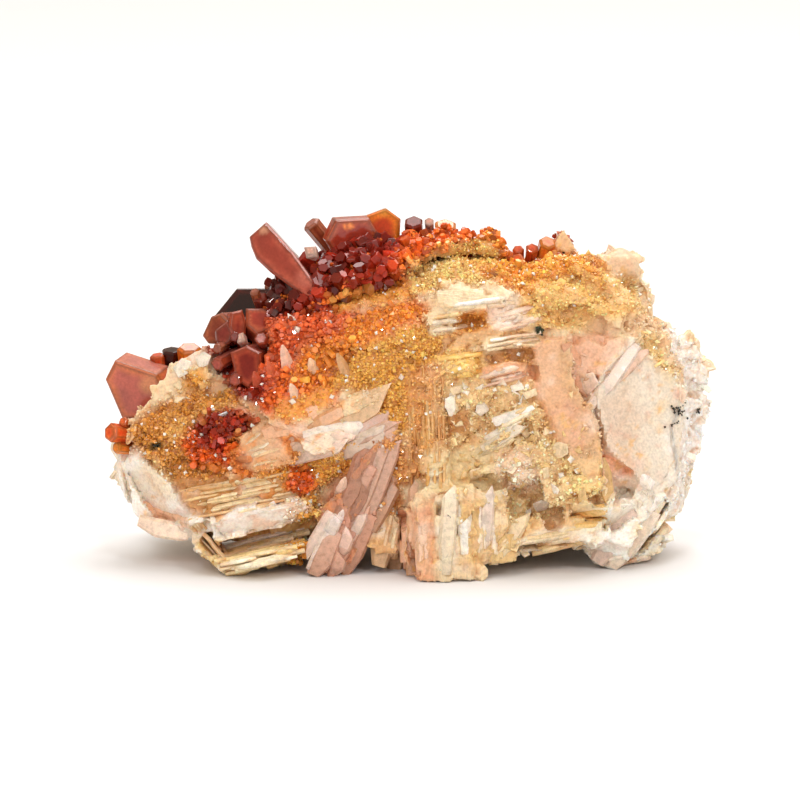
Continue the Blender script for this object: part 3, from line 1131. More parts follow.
class SPECIMEN_OT_druse(Operator):
    """Strews fine grains and small prisms of vanadinite over the drusy parts of the rock"""

    bl_idname = "specimen.druse"
    bl_label = "Druse"

    def execute(self, context):
        settings = context.scene.specimen_druse
        rng = np.random.default_rng(101)
        drusy = ROCK["made"][:, 2]
        red = smooth_step(1.6, 4.0, redness(ROCK["colour"]))
        # Druse on baryte: each grain a glassy crystal end, bright where it faces a light
        material = tinted_crystal("Vanadinite druse, fine grains", 0.12, 0.16, 0.6, 0.15)
        near = smooth_step(4.0, 1.0, ROCK["points"][:, 1])
        template = grain_template()
        for name, count, share in (("fine_druse_front", settings.fine, near),
                                   ("fine_druse_rear", settings.fine_rear, 1 - near)):
            places, normals, colours = strewn(count, drusy ** 1.5 * share, rng)
            size = sizes(rng, count, *GRAIN_SIZES)
            # A few grains are larger, clear and flash white
            clear = rng.uniform(size=(count, 1)) < settings.clear
            size = size * np.where(clear[:, 0], CLEAR_LARGER, 1.0)
            scales = stretched(size, rng, (0.7, 1.2), (0.9, 2.0))
            turns = frames_round(normals + rng.normal(0, GRAIN_TILT, normals.shape), rng)
            points, faces = copies(template, turns, places, scales)
            mesh = mesh_of(name, points, faces)
            colours = jittered(colours, rng, 0.16, GRAIN_BRIGHT)
            colours = np.where(clear, CLEAR_TINT, colours)
            paint(mesh, "tint", tinted(template, colours, 0.65))
            place_piece(name, mesh, material)

        seen = 0.5 + 0.5 * near
        places, normals, colours = strewn(settings.coarse, drusy * red * seen, rng)
        # Yellow druse is younger, so its prisms are smaller
        yellow = smooth_step(3.2, 1.6, redness(colours))
        size = sizes(rng, len(places), *PRISM_SIZES) * (1 - 0.4 * yellow)
        scales = stretched(size, rng, (0.7, 1.0), (1.2, 3.2))
        turns = frames_round(normals + rng.normal(0, PRISM_TILT, normals.shape), rng)
        template = prism_template()
        prisms = copies(template, turns, places, scales)
        colours = tinted(template, jittered(colours, rng, 0.26, 1.0), 0.6)
        grain = grain_template()
        spots, spot_colours = specks(rng)
        size = np.repeat(rng.uniform(*ORE_SIZES, (len(spots), 1)), 3, 1)
        ore = copies(grain, frames_round(rng.normal(size=spots.shape), rng), spots, size)
        points, faces = joined([prisms, ore])
        mesh = mesh_of("small_prisms", points, faces)
        paint(mesh, "tint", np.concatenate([colours, np.repeat(spot_colours, len(grain[0]), 0)]))
        # Vanadinite prisms under a millimetre across: adamantine faces, clear red inside
        material = tinted_crystal("Vanadinite druse, small prisms", 0.1, 0.14, 0.8, 0.15)
        place_piece("small_prisms", mesh, material)
        return {"FINISHED"}


PIECE_SIZE = 0.45  # size of a broken piece beside a whole blade
SHEAF_WIDE = 5.0  # millimetres
SHEAF_LEAN = 30, 75  # degrees


class SPECIMEN_OT_blades(Operator):
    """Strews small baryte blades, in sheaves, over the broken parts of the rock"""

    bl_idname = "specimen.blades"
    bl_label = "Baryte Blades"

    def execute(self, context):
        settings = context.scene.specimen_druse
        rng = np.random.default_rng(131)
        # Whole plates where the rock is broken, and small pieces of them in the druse
        broken = ROCK["made"][:, 3]
        behind = 0.15 + 0.85 * smooth_step(0.0, 4.0, ROCK["points"][:, 1])
        whole = strewn(settings.blades, broken * (broken > 0.6) * behind, rng)
        pieces = strewn(settings.blades // 2, broken * (broken <= 0.6), rng)
        places, normals, colours = (np.concatenate(pair) for pair in zip(whole, pieces))
        largest = np.where(np.arange(len(places)) < settings.blades, 1.0, PIECE_SIZE)
        seeds = seeds_among(places, SHEAF_WIDE, 133)
        owner = nearest_seeds(places, seeds, 1)[:, 0]
        sheaf = rng.normal(size=(len(seeds), 3))[owner]
        sheaf = sheaf / np.linalg.norm(sheaf, axis=1, keepdims=True)
        lying = sheaf - (sheaf * normals).sum(1, keepdims=True) * normals
        lying = lying / np.linalg.norm(lying, axis=1, keepdims=True)
        # Plates lie like shingles, each leaning from the surface as the others in its sheaf do
        lean = np.radians(rng.uniform(*SHEAF_LEAN, len(seeds)))[owner] + rng.normal(0, 0.08, len(places))
        axes = normals * np.cos(lean)[:, None] + lying * np.sin(lean)[:, None]
        turns = frames_round(axes + rng.normal(0, 0.05, axes.shape), rng)
        count = len(places)
        size = sizes(rng, count, *BLADE_SIZES) * largest
        wide = size * rng.uniform(0.6, 1.0, count)
        thick = (0.25 * largest + 0.16 * size) * rng.uniform(0.7, 1.3, count)
        scales = np.stack([size, wide, thick], 1)
        places = places - normals * (size * np.sin(lean) * rng.uniform(0.45, 0.75, count))[:, None]
        template = plate_template()
        points, faces = copies(template, turns, places, scales)
        mesh = mesh_of("baryte_blades", points, faces)
        paint(mesh, "tint", np.repeat(jittered(colours, rng, 0.07, 1.06), len(template[0]), 0))
        # Baryte blades: clear to milky plates with a glassy lustre on their edges
        material = tinted_crystal("Baryte blades, thin broken plates", 0.3, 0.35, 0.9, 0.2, BARYTE_IOR)
        place_piece("baryte_blades", mesh, material)
        return {"FINISHED"}


def front_of(across, up, missing=None):
    """How deep the rock's front lies at a place on the elevation, or missing where there is no rock."""
    hit = ROCK["tree"].ray_cast(Vector((across, NEARER, up)), Vector((0, 1, 0)))
    return missing if hit[0] is None else hit[0].y


def lofted(rings):
    """A closed shape through rings that have the same number of points."""
    count = len(rings[0])
    points = np.concatenate(rings)
    last = (len(rings) - 1) * count
    sides = [(low + i, low + count + i, low + count + (i + 1) % count, low + (i + 1) % count)
             for low in range(0, last, count) for i in range(count)]
    ends = [tuple(range(count)), tuple(range(last, last + count))[::-1]]
    return points, [np.array(sides), np.array(ends)]


EDGE_STEPS = 5  # pieces that a plate's front edge is measured in
EDGE_REACH = 2.2  # how far a plate runs back into the rock, in millimetres


def edge_plate(start, end, proud, thick, rng):
    """A thin plate seen on edge, whose broken front edge runs over the rock from start to end."""
    start, end = np.array(start), np.array(end)
    along = end - start
    length = np.linalg.norm(along)
    lift = np.array([-along[1], along[0]]) / length
    depths = [front_of(*(start + along * k / EDGE_STEPS)) for k in range(EDGE_STEPS + 1)]
    known = [d for d in depths if d is not None]
    if not known:
        return None
    line = []
    for k, depth in enumerate(depths):
        share = k / EDGE_STEPS
        taper = 0.9 * thick * (abs(2 * share - 1) ** 4)
        here = start + along * share + lift * rng.normal(0, 0.05)
        depth = float(np.mean(known)) if depth is None else depth
        line.append((here[0], depth - proud * rng.uniform(0.5, 1.2) + taper, here[1]))
    line = np.array(line)
    eased = np.convolve(np.pad(line[:, 1], 1, "edge"), (0.25, 0.5, 0.25), "valid")
    line[:, 1] = 0.55 * line[:, 1] + 0.45 * eased
    back = line[::-1] * (1, 0, 1) + (0, line[:, 1].max() + EDGE_REACH, 0)
    up = np.array([lift[0], 0.0, lift[1]]) * thick
    # The broken front edge is bevelled above and below its middle
    set_back = np.concatenate([line + (0, 0.45 * thick, 0), back])
    full = np.concatenate([line, back])
    return lofted([set_back - up / 2, full - up / 7, full + up / 7, set_back + up / 2])


# A spire's cross-section, its levels (share of its length, width), and its depth where no rock is
SPIRE_SECTION = ((-1, -0.3), (0.1, -1), (1, 0.2), (-0.2, 1))
SPIRE_LEVELS = ((-0.3, 0.9), (0.35, 1.0), (0.8, 0.62), (1.0, 0.2))
SPIRE_DEPTH = -9.0


def spire(line, width):
    """A slender four-sided blade, along a line from its foot in the druse to a chisel tip."""
    (x0, z0), (x1, z1) = ring_of(line).tolist()
    depth = front_of(x0, z0, SPIRE_DEPTH)
    base = Vector((x0, depth + 1.2, z0))
    top = Vector((x1, depth - 1.6, z1))
    axis = (top - base).normalized()
    side = axis.cross(Vector((0, 1, 0))).normalized()
    other = axis.cross(side)
    rings = []
    for share, wide in SPIRE_LEVELS:
        at = base + (top - base) * share
        rings.append([at + side * width / 2 * wide * x + other * width * 0.3 * wide * y
                      for x, y in SPIRE_SECTION])
    points = np.array([p[:] for ring in rings for p in ring])
    sides = band(0, 4, 4) + band(4, 8, 4) + band(8, 12, 4)
    return points, [np.array(sides + [(3, 2, 1, 0), (12, 13, 14, 15)])]


# A blade's levels (share of its length, width, how far it stands out, how much its tip slants there)
# and its cross-section (across, back)
BLADE_LEVELS = ((-0.12, 0.6, -0.5, 0), (0.3, 1.0, 0.6, 0), (0.8, 0.95, 1.0, 0.5),
                (0.95, 0.78, 1.0, 1), (1.0, 0.6, 0.5, 1))
BLADE_SECTION = ((-1.0, 0.5), (-0.72, 0.0), (0.62, 0.0), (1.0, 0.42), (0.7, 1.6), (-0.8, 1.6))


def blade(foot, tip, width, proud, rng):
    """A flat tapered blade that lies along the rock from its foot to a slanted tip."""
    ends = [np.array(square(*foot)), np.array(square(*tip))]
    along = ends[1] - ends[0]
    length = np.linalg.norm(along)
    aside = np.array([-along[1], along[0]]) / length
    depths = [front_of(*(ends[0] + along * t)) for t in (0.1, 0.5, 0.9)]
    known = [d for d in depths if d is not None]
    if not known:
        return None
    first, last = (float(np.mean(known)) if d is None else d for d in (depths[0], depths[2]))
    turn = rng.uniform(-0.35, 0.35)
    slant = along / length * width * rng.uniform(-0.5, 0.5)
    rings = []
    for t, wide, out, cut in BLADE_LEVELS:
        middle = ends[0] + along * t + aside * 0.06 * width * rng.normal()
        depth = first + (last - first) * t - proud * out
        half = width / 2 * wide
        ring = []
        for a, b in BLADE_SECTION:
            place = middle + aside * half * a + slant * a * cut
            ring.append((place[0], depth + half * (b + turn * a), place[1]))
        rings.append(ring)
    return lofted([np.array(ring) for ring in rings])


def chip(ring, proud, rng):
    """A flat chip on the rock, laid to its slope, with a share of each side worn off."""
    depths = [(x, z, front_of(x, z)) for x, z in [*ring, ring.mean(0)]]
    known = np.array([d for d in depths if d[2] is not None])
    if len(known) < 3:
        return None
    across = np.column_stack([known[:, :2], np.ones(len(known))])
    plane = np.linalg.lstsq(across, known[:, 2], rcond=None)[0]
    plane[:2] = np.clip(plane[:2], -1.2, 1.2) + rng.normal(0, 0.2, 2)
    lift = np.median(known[:, 2] - known[:, :2] @ plane[:2])
    following = np.roll(ring, -1, 0)
    kept = 1 - CHIP_WORN
    cuts = ring * kept + following * CHIP_WORN, ring * CHIP_WORN + following * kept
    ring = np.stack(cuts, 1).reshape(-1, 2)
    ring = ring + rng.normal(0, 0.04, ring.shape)
    front = np.column_stack([ring[:, 0], ring @ plane[:2] + lift - proud, ring[:, 1]])
    centre = front.mean(0)
    along = front - centre
    small = front - along * (0.25 / np.maximum(np.linalg.norm(along, axis=1, keepdims=True), 0.5))
    return lofted([small, front + (0, 0.15, 0), front + (0, proud + 1.2, 0)])


def sheaf_plates(rng):
    """The plates of every sheaf, two pieces to each, with a colour for each of their points."""
    for _, corners, count, proud, thick, first, last in SHEAVES:
        ends = ring_of(corners)
        tints = tint_of(first), tint_of(last)
        for i in range(count):
            share = (i + rng.uniform(0.2, 0.8)) / count
            start = ends[0] + (ends[2] - ends[0]) * share
            along = ends[1] + (ends[3] - ends[1]) * share - start
            for _ in range(2):
                cut = sorted(rng.uniform(-0.08, 1.08, 2))
                if cut[1] - cut[0] < SHORTEST_PIECE:
                    cut = [rng.uniform(-0.1, 0.15), rng.uniform(0.85, 1.1)]
                shift = rng.normal(0, 0.12, 2)
                made = edge_plate(start + along * cut[0] + shift, start + along * cut[1] + shift,
                                  proud * rng.uniform(0.3, 1.2), thick * rng.uniform(0.5, 1.15), rng)
                if made is not None:
                    mix = rng.uniform()
                    # Deeper in, less light reaches and more iron has settled
                    depth = made[0][:, 1] - made[0][:, 1].min()
                    deep = smooth_step(0.0, 1.6, depth)[:, None] * DEEP_TINTED
                    tint = tints[0] * mix + tints[1] * (1 - mix)
                    yield made, tint * (1 - (1 - tint_of(DEEP_TINT)) * deep)


def lying_blades(rng):
    """The blades that lie on the rock, with a colour for each of their points."""
    for line, width, proud, colour in BLADES:
        # A broad blade is a bundle of narrow ones, grown side by side
        count = max(1, round(width / BLADE_WIDE))
        foot, tip = squares(line)
        aside = np.array([tip[1] - foot[1], foot[0] - tip[0]]) / np.linalg.norm(tip - foot)
        for i in range(count):
            shift = aside * (i - (count - 1) / 2) * width / count / SQUARE
            reach = (tip - foot) * rng.uniform(-0.12, 0.06, 2)[:, None]
            made = blade(foot + shift + reach[0], tip + shift + reach[1],
                         width / count * rng.uniform(1.3, 1.9), proud * rng.uniform(0.6, 1.2), rng)
            if made is not None:
                # Cloudier and more stained at the foot than at the tip
                levels = np.linspace(0.78, 1.02, len(BLADE_LEVELS))
                up = np.repeat(levels, len(BLADE_SECTION))[:, None] * rng.uniform(0.86, 1.06)
                yield made, tint_of(colour) * up ** (1.0, 1.2, 1.5)


def chips(rng):
    """The flat chips, those with an outline first, with a colour for each of their points."""
    loose = [(ring_of(outline), proud, colour) for outline, proud, colour in CHIPS]
    for left, top, right, bottom, count, colour in CHIP_FIELDS:
        for _ in range(count):
            middle = np.array(square(rng.uniform(left, right), rng.uniform(top, bottom)))
            turn = rng.uniform(0, math.tau) + np.sort(rng.uniform(0, math.tau, CHIP_SIDES))
            radius = rng.uniform(0.25, 0.75) * rng.uniform(0.75, 1.15, CHIP_SIDES)
            ring = middle + np.stack([np.cos(turn), np.sin(turn)], 1) * radius[:, None]
            loose.append((ring, rng.uniform(0.1, 0.35), colour))
    for ring, proud, colour in loose:
        made = chip(ring, proud, rng)
        if made is not None:
            tint = tint_of(colour) * rng.uniform(0.88, 1.02)
            yield made, np.tile(tint, (len(made[0]), 1))


SHORTEST_PIECE = 0.35  # a plate's two pieces are each longer than this share of it
DEEP_TINT, DEEP_TINTED = "#E0A868", 0.55
CHIP_SIDES = 5


class SPECIMEN_OT_sheaves(Operator):
    """Builds the sheaves of baryte plates, the single blades and the chips that show on the front"""

    bl_idname = "specimen.sheaves"
    bl_label = "Baryte Sheaves"

    def execute(self, context):
        rng = np.random.default_rng(151)
        made = list(sheaf_plates(rng))
        for line, width, colour in SPIRES:
            shape = spire(line, width)
            made.append((shape, np.tile(linear(colour), (len(shape[0]), 1))))
        made += [*lying_blades(rng), *chips(rng)]
        points, faces = joined([shape for shape, _ in made])
        mesh = mesh_of("baryte_sheaves", points, faces)
        tint = np.concatenate([colours for _, colours in made])
        paint(mesh, "tint", tint * (1 + 0.1 * waves(points, 1.0, 155))[:, None])
        # Baryte plates on edge: pearly flats and glassy broken edges
        material = tinted_crystal("Baryte plates, broken on edge", 0.3, 0.35, 0.7, 0.2, BARYTE_IOR)
        place_piece("baryte_sheaves", mesh, material)
        return {"FINISHED"}


# How the large crystals are coloured: inside, along the edges, how wide the edge zone is in
# millimetres, and how pale the sides that face up look
LOOKS = {
    "rose": ("#B05848", "#CC6E40", 1.2, 0.45),
    "night": ("#200504", "#481008", 0.8, 0.0),
    "russet": ("#A03828", "#B85A3C", 0.7, 0.5),
    "maroon": ("#601A10", "#8E2E1C", 0.6, 0.05),
    "plum": ("#7C2E26", "#A4503C", 0.6, 0.25),
    "brick": ("#963A2A", "#B4543E", 0.9, 0.35),
    "brown": ("#843A26", "#B0603E", 0.6, 0.35),
    "garnet": ("#84241A", "#B44C30", 0.8, 0.25),
    "flame": ("#C4441F", "#EE8226", 1.1, 0.2),
    "orange": ("#E45E20", "#F49638", 0.8, 0.1),
    "scarlet": ("#BC3A1E", "#DC6430", 0.6, 0.15),
    "coral": ("#D84C20", "#E87436", 0.6, 0.1),
    "blush": ("#DDA08C", "#EDC4B2", 0.4, 0.3),
}

# Flat crystals: outline in squares of the grid, depth of its middle, facing, thickness, look
TABLES = {
    "left_table_crystal": [
        ("104,380 114,361 157,375 170,398 150,420 121,420",
         0.2, (-0.35, -0.9, -0.28), 4.0, "rose")],
    "leaning_prism": [
        ("249,237 266,222 292,251 317,286 318,297 310,302 293,289 271,273 256,259 251,247",
         -5.2, (-0.3, -0.93, 0.22), 2.6, "brick")],
    "crest_table_crystals": [
        ("326,242 336,221 370,219 378,233 374,256 337,259",
         -2.4, (0.2, -0.97, -0.2), 2.4, "russet"),
        ("357,219 386,208 401,219 400,240 386,262 354,260",
         0.4, (0.1, -0.99, -0.04), 2.2, "flame"),
        ("304,247 316,246 318,257 306,258", -5.2, (-0.2, -0.9, 0.4), 1.6, "blush")],
    "shoulder_cluster": [
        ("212,317 236,287 268,287 280,310 262,338 222,338",
         -0.6, (-0.2, -0.86, 0.46), 3.4, "night"),
        ("211,317 222,313 231,322 226,345 208,344 202,336",
         -3.6, (-0.42, -0.9, -0.05), 4.2, "brown"),
        ("215,331 228,321 236,333 231,343 224,348 216,342",
         -5.0, (-0.3, -0.95, -0.06), 4.2, "plum"),
        ("232,313 244,310 248,324 247,338 236,342 230,328",
         -5.4, (0.2, -0.96, 0.04), 3.6, "garnet"),
        ("247,308 266,308 277,316 272,331 258,336 247,326",
         -5.0, (0.1, -0.93, 0.34), 3.2, "russet"),
        ("231,353 248,346 262,353 264,374 250,390 237,380",
         -7.6, (-0.22, -0.96, -0.08), 4.4, "garnet"),
        ("236,334 244,332 246,341 238,343", -6.9, (-0.25, -0.92, 0.3), 2.0, "blush")],
}

# Where light comes through a large crystal: group, place in grid squares, reach in millimetres, colour
GLOWS = (
    ("crest_table_crystals", 351, 226, 0.5, "#F09048"),
    ("crest_table_crystals", 345, 227, 0.5, "#F09048"),
    ("crest_table_crystals", 384, 211, 0.9, "#F6A040"),
    ("left_table_crystal", 150, 384, 1.6, "#D08458"),
    ("leaning_prism", 264, 230, 0.8, "#C08668"),
    ("leaning_prism", 306, 280, 1.6, "#B8604E"),
    ("left_ledge_crystals", 190, 352, 0.9, "#F08A3C"),
)
TOP_PALE = "#C48A80"  # sides that face up return more of the room's light

# Prismatic crystals: root, tip, half width, roll in degrees, look
PRISMS = {
    "corner_crystal": [
        ((-30.6, -1.0, 16.6), (-33.7, -4.0, 16.9), 1.15, 12, "coral"),
        ((-31.4, -1.6, 15.0), (-33.0, -3.2, 15.2), 0.75, 0, "orange"),
        ((-31.0, -1.4, 17.2), (-32.2, -3.6, 18.2), 0.6, 30, "coral")],
    "left_ledge_crystals": [
        ((-27.8, 4.4, 21.0), (-28.5, 2.6, 25.8), 0.95, 20, "scarlet"),
        ((-26.8, 4.8, 21.6), (-26.8, 3.0, 26.4), 1.3, 50, "night"),
        ((-24.8, 4.2, 22.4), (-24.8, 2.0, 26.7), 1.45, 15, "flame")],
    "crest_small_prism": [
        ((-7.4, 3.4, 36.6), (-10.9, 1.0, 40.9), 1.1, 20, "brown")],
    "crest_end_crystal": [
        ((7.3, 3.2, 35.0), (7.3, 0.4, 39.0), 1.45, 12, "scarlet"),
        ((6.6, 1.0, 35.4), (6.2, -2.0, 38.0), 0.7, 40, "scarlet")],
    "shoulder_cluster": [
        ((-15.4, 0.4, 28.4), (-16.6, -3.6, 32.4), 0.9, 40, "maroon"),
        ((-15.0, 2.8, 29.6), (-15.5, 0.6, 33.9), 0.75, 35, "brown"),
        ((-16.2, -1.0, 30.0), (-17.2, -4.0, 33.0), 0.6, 10, "brown"),
        ((-19.4, -3.0, 25.8), (-21.4, -6.4, 24.6), 0.85, 10, "garnet"),
        ((-17.6, -4.0, 23.6), (-19.4, -7.6, 22.8), 0.8, 50, "garnet"),
        ((-16.0, -4.0, 26.6), (-16.4, -7.6, 27.6), 0.8, 20, "garnet"),
        ((-15.6, -4.0, 24.8), (-15.4, -8.2, 25.4), 0.7, 50, "scarlet"),
        ((-18.8, -4.0, 27.2), (-19.4, -6.8, 27.8), 0.6, 5, "maroon"),
        ((-20.4, -3.6, 27.0), (-21.4, -6.2, 26.4), 0.6, 25, "brown"),
        ((-16.8, -4.0, 21.8), (-17.2, -7.8, 21.0), 0.75, 40, "scarlet"),
        ((-18.6, -4.0, 21.6), (-19.6, -7.0, 20.6), 0.6, 15, "garnet")],
    "crest_right_cluster": [
        ((1.3, 3.2, 36.6), (0.9, -1.2, 41.0), 1.15, 30, "maroon"),
        ((2.8, 2.6, 39.6), (2.7, -0.4, 41.0), 0.6, 45, "blush"),
        ((0.7, 1.4, 37.2), (0.6, -2.0, 39.2), 0.65, 20, "blush"),
        ((4.2, 3.4, 36.0), (4.6, 0.0, 40.7), 1.4, 40, "orange"),
        ((2.8, 2.0, 36.0), (2.9, -1.4, 39.6), 0.85, 10, "scarlet"),
        ((4.4, 2.0, 35.6), (4.6, -2.0, 38.0), 0.8, 35, "coral"),
        ((1.4, 1.6, 36.0), (1.4, -2.4, 38.2), 0.7, 0, "scarlet")],
    "far_crest_crystals": [
        ((13.7, 3.2, 35.0), (12.7, -0.6, 36.6), 0.95, 20, "coral"),
        ((11.9, 3.0, 35.2), (11.6, -0.4, 37.3), 0.8, 30, "coral"),
        ((13.0, 3.0, 35.8), (12.9, 0.4, 37.9), 0.7, 10, "scarlet"),
        ((14.2, 3.4, 35.6), (14.5, 0.0, 38.0), 0.8, 40, "scarlet"),
        ((15.6, 3.0, 36.2), (16.3, 0.0, 38.7), 1.05, 45, "orange"),
        ((16.8, 3.0, 35.6), (17.6, -0.4, 37.0), 0.7, 10, "coral"),
        ((15.2, 2.4, 35.4), (15.2, -1.4, 36.2), 0.65, 30, "flame")],
}

# Clusters behind the crest: place, the way they point, number of crystals, half width, length
REAR_CLUSTERS = {
    "rear_left_cluster": ((-13.4, 7.0, 29.2), (-0.35, 0.45, 0.85), 6, 1.75, 4.2),
    "rear_middle_cluster": ((0.2, 8.0, 33.2), (-0.05, 0.45, 0.9), 7, 1.9, 4.4),
    "rear_right_cluster": ((11.4, 8.0, 33.4), (0.15, 0.5, 0.85), 5, 1.5, 3.8),
}
REAR_LOOKS = ("garnet", "scarlet", "maroon", "brick", "coral", "scarlet", "garnet")
CLUSTER_FAN = 0.55  # how far the outer prisms of a cluster lean out
CLUSTER_ROOT = 1.5  # how deep its prisms are rooted, in millimetres
SPIRAL = 2.4  # turn in radians from one prism to the next, which spreads them evenly
TABLE_BEVEL = 0.25  # millimetres
PRISM_CAP = 0.22  # width of the bevel round a prism's end, as a share of its half width
FINE = 0.5  # longest edge of a large crystal's mesh in millimetres, so that its colours can change
CORNER = 0.2  # edges that turn more than this, in radians, get a bevel
CRYSTAL_GROUPS = sorted({*TABLES, *PRISMS, *REAR_CLUSTERS})


def inset(ring, normal, by):
    """The ring with each of its sides moved inwards by this much."""
    moved = []
    for i, here in enumerate(ring):
        before = (here - ring[i - 1]).normalized()
        after = (ring[(i + 1) % len(ring)] - here).normalized()
        inward = (normal.cross(before) + normal.cross(after)).normalized()
        moved.append(here + inward * by / max(0.5, inward.dot(normal.cross(after))))
    middle = sum(ring, Vector()) / len(ring)
    grew = sum((p - middle).length for p in moved) > sum((p - middle).length for p in ring)
    return inset(ring, -normal, by) if grew else moved


def table_rings(outline, depth, facing, thick):
    """The rings of a flat crystal whose broad face shows this outline from the front."""
    normal = Vector(facing).normalized()
    outline = ring_of(outline).tolist()
    middle_x = sum(p[0] for p in outline) / len(outline)
    middle_z = sum(p[1] for p in outline) / len(outline)
    ring = [Vector((x, depth - (normal.x * (x - middle_x) + normal.z * (z - middle_z)) / normal.y, z))
            for x, z in outline]
    small = inset(ring, normal, TABLE_BEVEL)
    heights = ((small, 0.0), (ring, TABLE_BEVEL * 1.2), (ring, thick - TABLE_BEVEL), (small, thick))
    return [[p - normal * down for p in shape] for shape, down in heights]


def prism_rings(root, tip, half_width, roll):
    """The rings of a six-sided crystal from root to tip, with a narrow bevel round its end face."""
    root, tip = Vector(root), Vector(tip)
    axis = (tip - root).normalized()
    side = axis.orthogonal().normalized()
    other = axis.cross(side)
    length = (tip - root).length
    rings = []
    shoulder = 1 - PRISM_CAP * half_width / length
    for along, width in ((0.0, ROOT_WIDTH), (shoulder, 1.0), (1.0, 1.0 - PRISM_CAP)):
        ring = []
        for i in range(6):
            angle = math.radians(60 * i + roll)
            out = side * math.cos(angle) + other * math.sin(angle)
            ring.append(root + axis * length * along + out * half_width * width)
        rings.append(ring)
    return rings


def fan(place, facing, count, half_width, length, rng):
    """A fan of prisms that spring from one place: the middle one first, then shorter ones."""
    out = Vector(facing).normalized()
    level = Vector((0, 0, 1)).cross(out).normalized()
    up = out.cross(level)
    for i in range(count):
        angle = i * SPIRAL + rng.uniform(-0.2, 0.2)
        aside = (level * math.cos(angle) + up * math.sin(angle)) * (0.0 if i == 0 else 1.0)
        axis = (out + aside * CLUSTER_FAN * rng.uniform(0.8, 1.3)).normalized()
        size = half_width * (1.15 if i == 0 else rng.uniform(0.65, 1.0))
        root = Vector(place) + aside * half_width * 0.9 - axis * CLUSTER_ROOT
        reach = length * (1.0 if i == 0 else rng.uniform(0.6, 0.9))
        yield root, root + axis * (CLUSTER_ROOT + reach), size, rng.uniform(0, 60), REAR_LOOKS[i]


def cut_crystal(rings, look, edge, glows=()):
    """One crystal from its rings: bright narrow edges, and a colour that changes from its edges in."""
    bm = bmesh.new()
    rows = [[bm.verts.new(p) for p in ring] for ring in rings]
    count = len(rows[0])
    bm.faces.new(rows[0])
    bm.faces.new(rows[-1])
    for low, high in zip(rows, rows[1:]):
        for i in range(count):
            bm.faces.new((low[i], low[(i + 1) % count], high[(i + 1) % count], high[i]))
    bmesh.ops.recalc_face_normals(bm, faces=bm.faces)
    bmesh.ops.dissolve_limit(bm, angle_limit=math.radians(1), verts=bm.verts, edges=bm.edges)
    corners = [e for e in bm.edges if e.calc_face_angle(0.0) > CORNER]
    lines = np.array([[v.co[:] for v in e.verts] for e in corners])
    bmesh.ops.bevel(bm, geom=corners, offset=edge, segments=1, affect="EDGES", clamp_overlap=True)
    bmesh.ops.triangulate(bm, faces=bm.faces)
    for _ in range(6):
        long = [e for e in bm.edges if e.calc_length() > FINE]
        if not long:
            break
        bmesh.ops.subdivide_edges(bm, edges=long, cuts=1)
        bmesh.ops.triangulate(bm, faces=[f for f in bm.faces if len(f.verts) > 3])
    bm.verts.index_update()
    points = np.array([v.co[:] for v in bm.verts])
    bm.normal_update()
    upward = np.array([v.normal.z for v in bm.verts])
    faces = np.array([[v.index for v in f.verts] for f in bm.faces])
    bm.free()
    away = np.full(len(points), 1e9)
    for a, b in lines:
        along = b - a
        t = np.clip(((points - a) @ along) / (along @ along), 0, 1)
        away = np.minimum(away, np.linalg.norm(points - a - t[:, None] * along, axis=1))
    core, rim, width, pale = LOOKS[look]
    core, rim = tint_of(core), tint_of(rim)
    share = smooth_step(0.05, width, away + 0.35 * waves(points, 1.2, 201))
    colour = rim + (core - rim) * share[:, None]
    colour *= (1 + 0.16 * waves(points, 2.2, 205))[:, None]
    for across, down, reach, hex_colour in glows:
        far = np.linalg.norm(points[:, [0, 2]] - square(across, down), axis=1) + 0.3 * waves(points, 0.8, 207)
        lay(colour, hex_colour, smooth_step(reach, reach * 0.3, far))
    lay(colour, TOP_PALE, pale * smooth_step(0.35, 0.75, upward))
    # The very edge looks dark, as light that enters there leaves another way
    colour *= (0.45 + 0.55 * smooth_step(0.0, 0.2, away))[:, None]
    return (points, [faces]), colour


def crystals_of(group, edge):
    """The mesh of a group of large crystals, with its tints."""
    made = []
    glows = [glow for name, *glow in GLOWS if name == group]
    for outline, depth, facing, thick, look in TABLES.get(group, []):
        made.append(cut_crystal(table_rings(outline, depth, facing, thick), look, edge, glows))
    prisms = list(PRISMS.get(group, []))
    if group in REAR_CLUSTERS:
        prisms += fan(*REAR_CLUSTERS[group], random.Random(len(group)))
    for root, tip, half_width, roll, look in prisms:
        made.append(cut_crystal(prism_rings(root, tip, half_width, roll), look, edge))
    points, faces = joined([shape for shape, _ in made])
    mesh = mesh_of(group, points, faces)
    paint(mesh, "tint", np.concatenate([colour for _, colour in made]))
    return mesh


class SPECIMEN_OT_crystals(Operator):
    """Builds the large vanadinite crystals, each from its own outline, over their solids"""

    bl_idname = "specimen.crystals"
    bl_label = "Large Crystals"

    def execute(self, context):
        edge = context.scene.specimen_crystals.bevel
        # Natural growth faces: adamantine, nearly flat, clear enough at the edges to glow orange
        material = tinted_crystal("Vanadinite, natural growth faces", 0.08, 0.12, 2.0, 0.25)
        for group in CRYSTAL_GROUPS:
            place_piece(group + "_faces", crystals_of(group, edge), material, [group])
        return {"FINISHED"}


